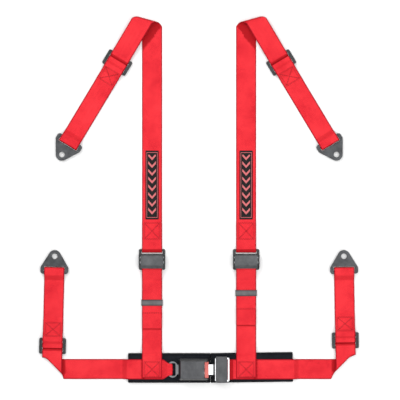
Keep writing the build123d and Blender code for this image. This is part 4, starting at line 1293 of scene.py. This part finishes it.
# %% The seams
BOX_HALF = 20.0
BOX_FROM_SLIDE = {"shoulder": (22.0, 58.0), "lap": (24.0, 59.0)}
BOX_FROM_LABEL = (50, 8)
HEM_HALF, HEM_ROWS = 22.5, (3.0, 5.6)
LABEL_EDGE, LABEL_TOP = 1.6, 0.95
PAD_EDGE_SEAM = 4.0
for end in ENDS:
    slide = end_facts(end)["slide"]
    near, far = BOX_FROM_SLIDE[end.split("_")[1]]
    height = top_of(middle_line(end_line(end, [(0, 2 * FOLDS[end]["radius"])])))
    lines = box_cross((slide + near, -BOX_HALF), (slide + far, BOX_HALF))
    place = on_strap(FOLDS[end]["leave"], HEADING[end], height)
    make_stitches(f"{end}_box_seam", lines, place, red_thread, BODY[end.split("_")[0]])

for side_name in SIDES:
    body = BODY[side_name]
    start = start_of(f"{side_name}_shoulder")
    on_shoulder = on_strap(*start, top_of(shoulder_line(FOLDS[f"{side_name}_shoulder"])))
    on_riser = on_strap(*start, top_of(riser_line(side_name)))
    box_low, box_high = (LABEL_LOW_Y - distance for distance in BOX_FROM_LABEL)
    hem_rows = [HEM_TOP_Y[side_name] - row for row in HEM_ROWS]
    for seam, place, lines in (
        ("adjuster", on_shoulder, box_cross((box_low, -BOX_HALF), (box_high, BOX_HALF))),
        ("hem", on_riser, [((y, -HEM_HALF), (y, HEM_HALF)) for y in hem_rows]),
        ("lap", on_riser, box_cross((LAP_Y - BOX_HALF, -BOX_HALF), (LAP_Y + BOX_HALF, BOX_HALF))),
    ):
        make_stitches(f"{side_name}_{seam}_seam", lines, place, red_thread, body)

    low, high = box_of(f"{side_name}_label")
    (x0, y0), (x1, y1) = low[:2] + LABEL_EDGE, high[:2] - LABEL_EDGE
    lines = box_lines((y0, x0 - STRAP_X[side_name]), (y1, x1 - STRAP_X[side_name]))
    place = on_strap(*start, lambda distance: np.full_like(distance, LABEL_UP + LABEL_TOP))
    make_stitches(f"{side_name}_label_seam", lines, place, black_thread, body, FINE_THREAD_R, "label_fabric")

    half = plan_of(f"{side_name}_pad")[0] - PAD_EDGE_SEAM
    corner = half - PAD_CORNER
    lines = [((-corner[0], y), (corner[0], y)) for y in (-half[1], half[1])]
    lines += [((x, -corner[1]), (x, corner[1])) for x in (-half[0], half[0])]

    def on_pad(flat, placed=PAD_PLACE[side_name]):
        return placed(np.column_stack([flat, np.full(len(flat), PAD_THICK + 0.05)]))

    make_stitches(f"{side_name}_pad_seam", lines, on_pad, black_thread, body, FINE_THREAD_R, "pad_fabric")
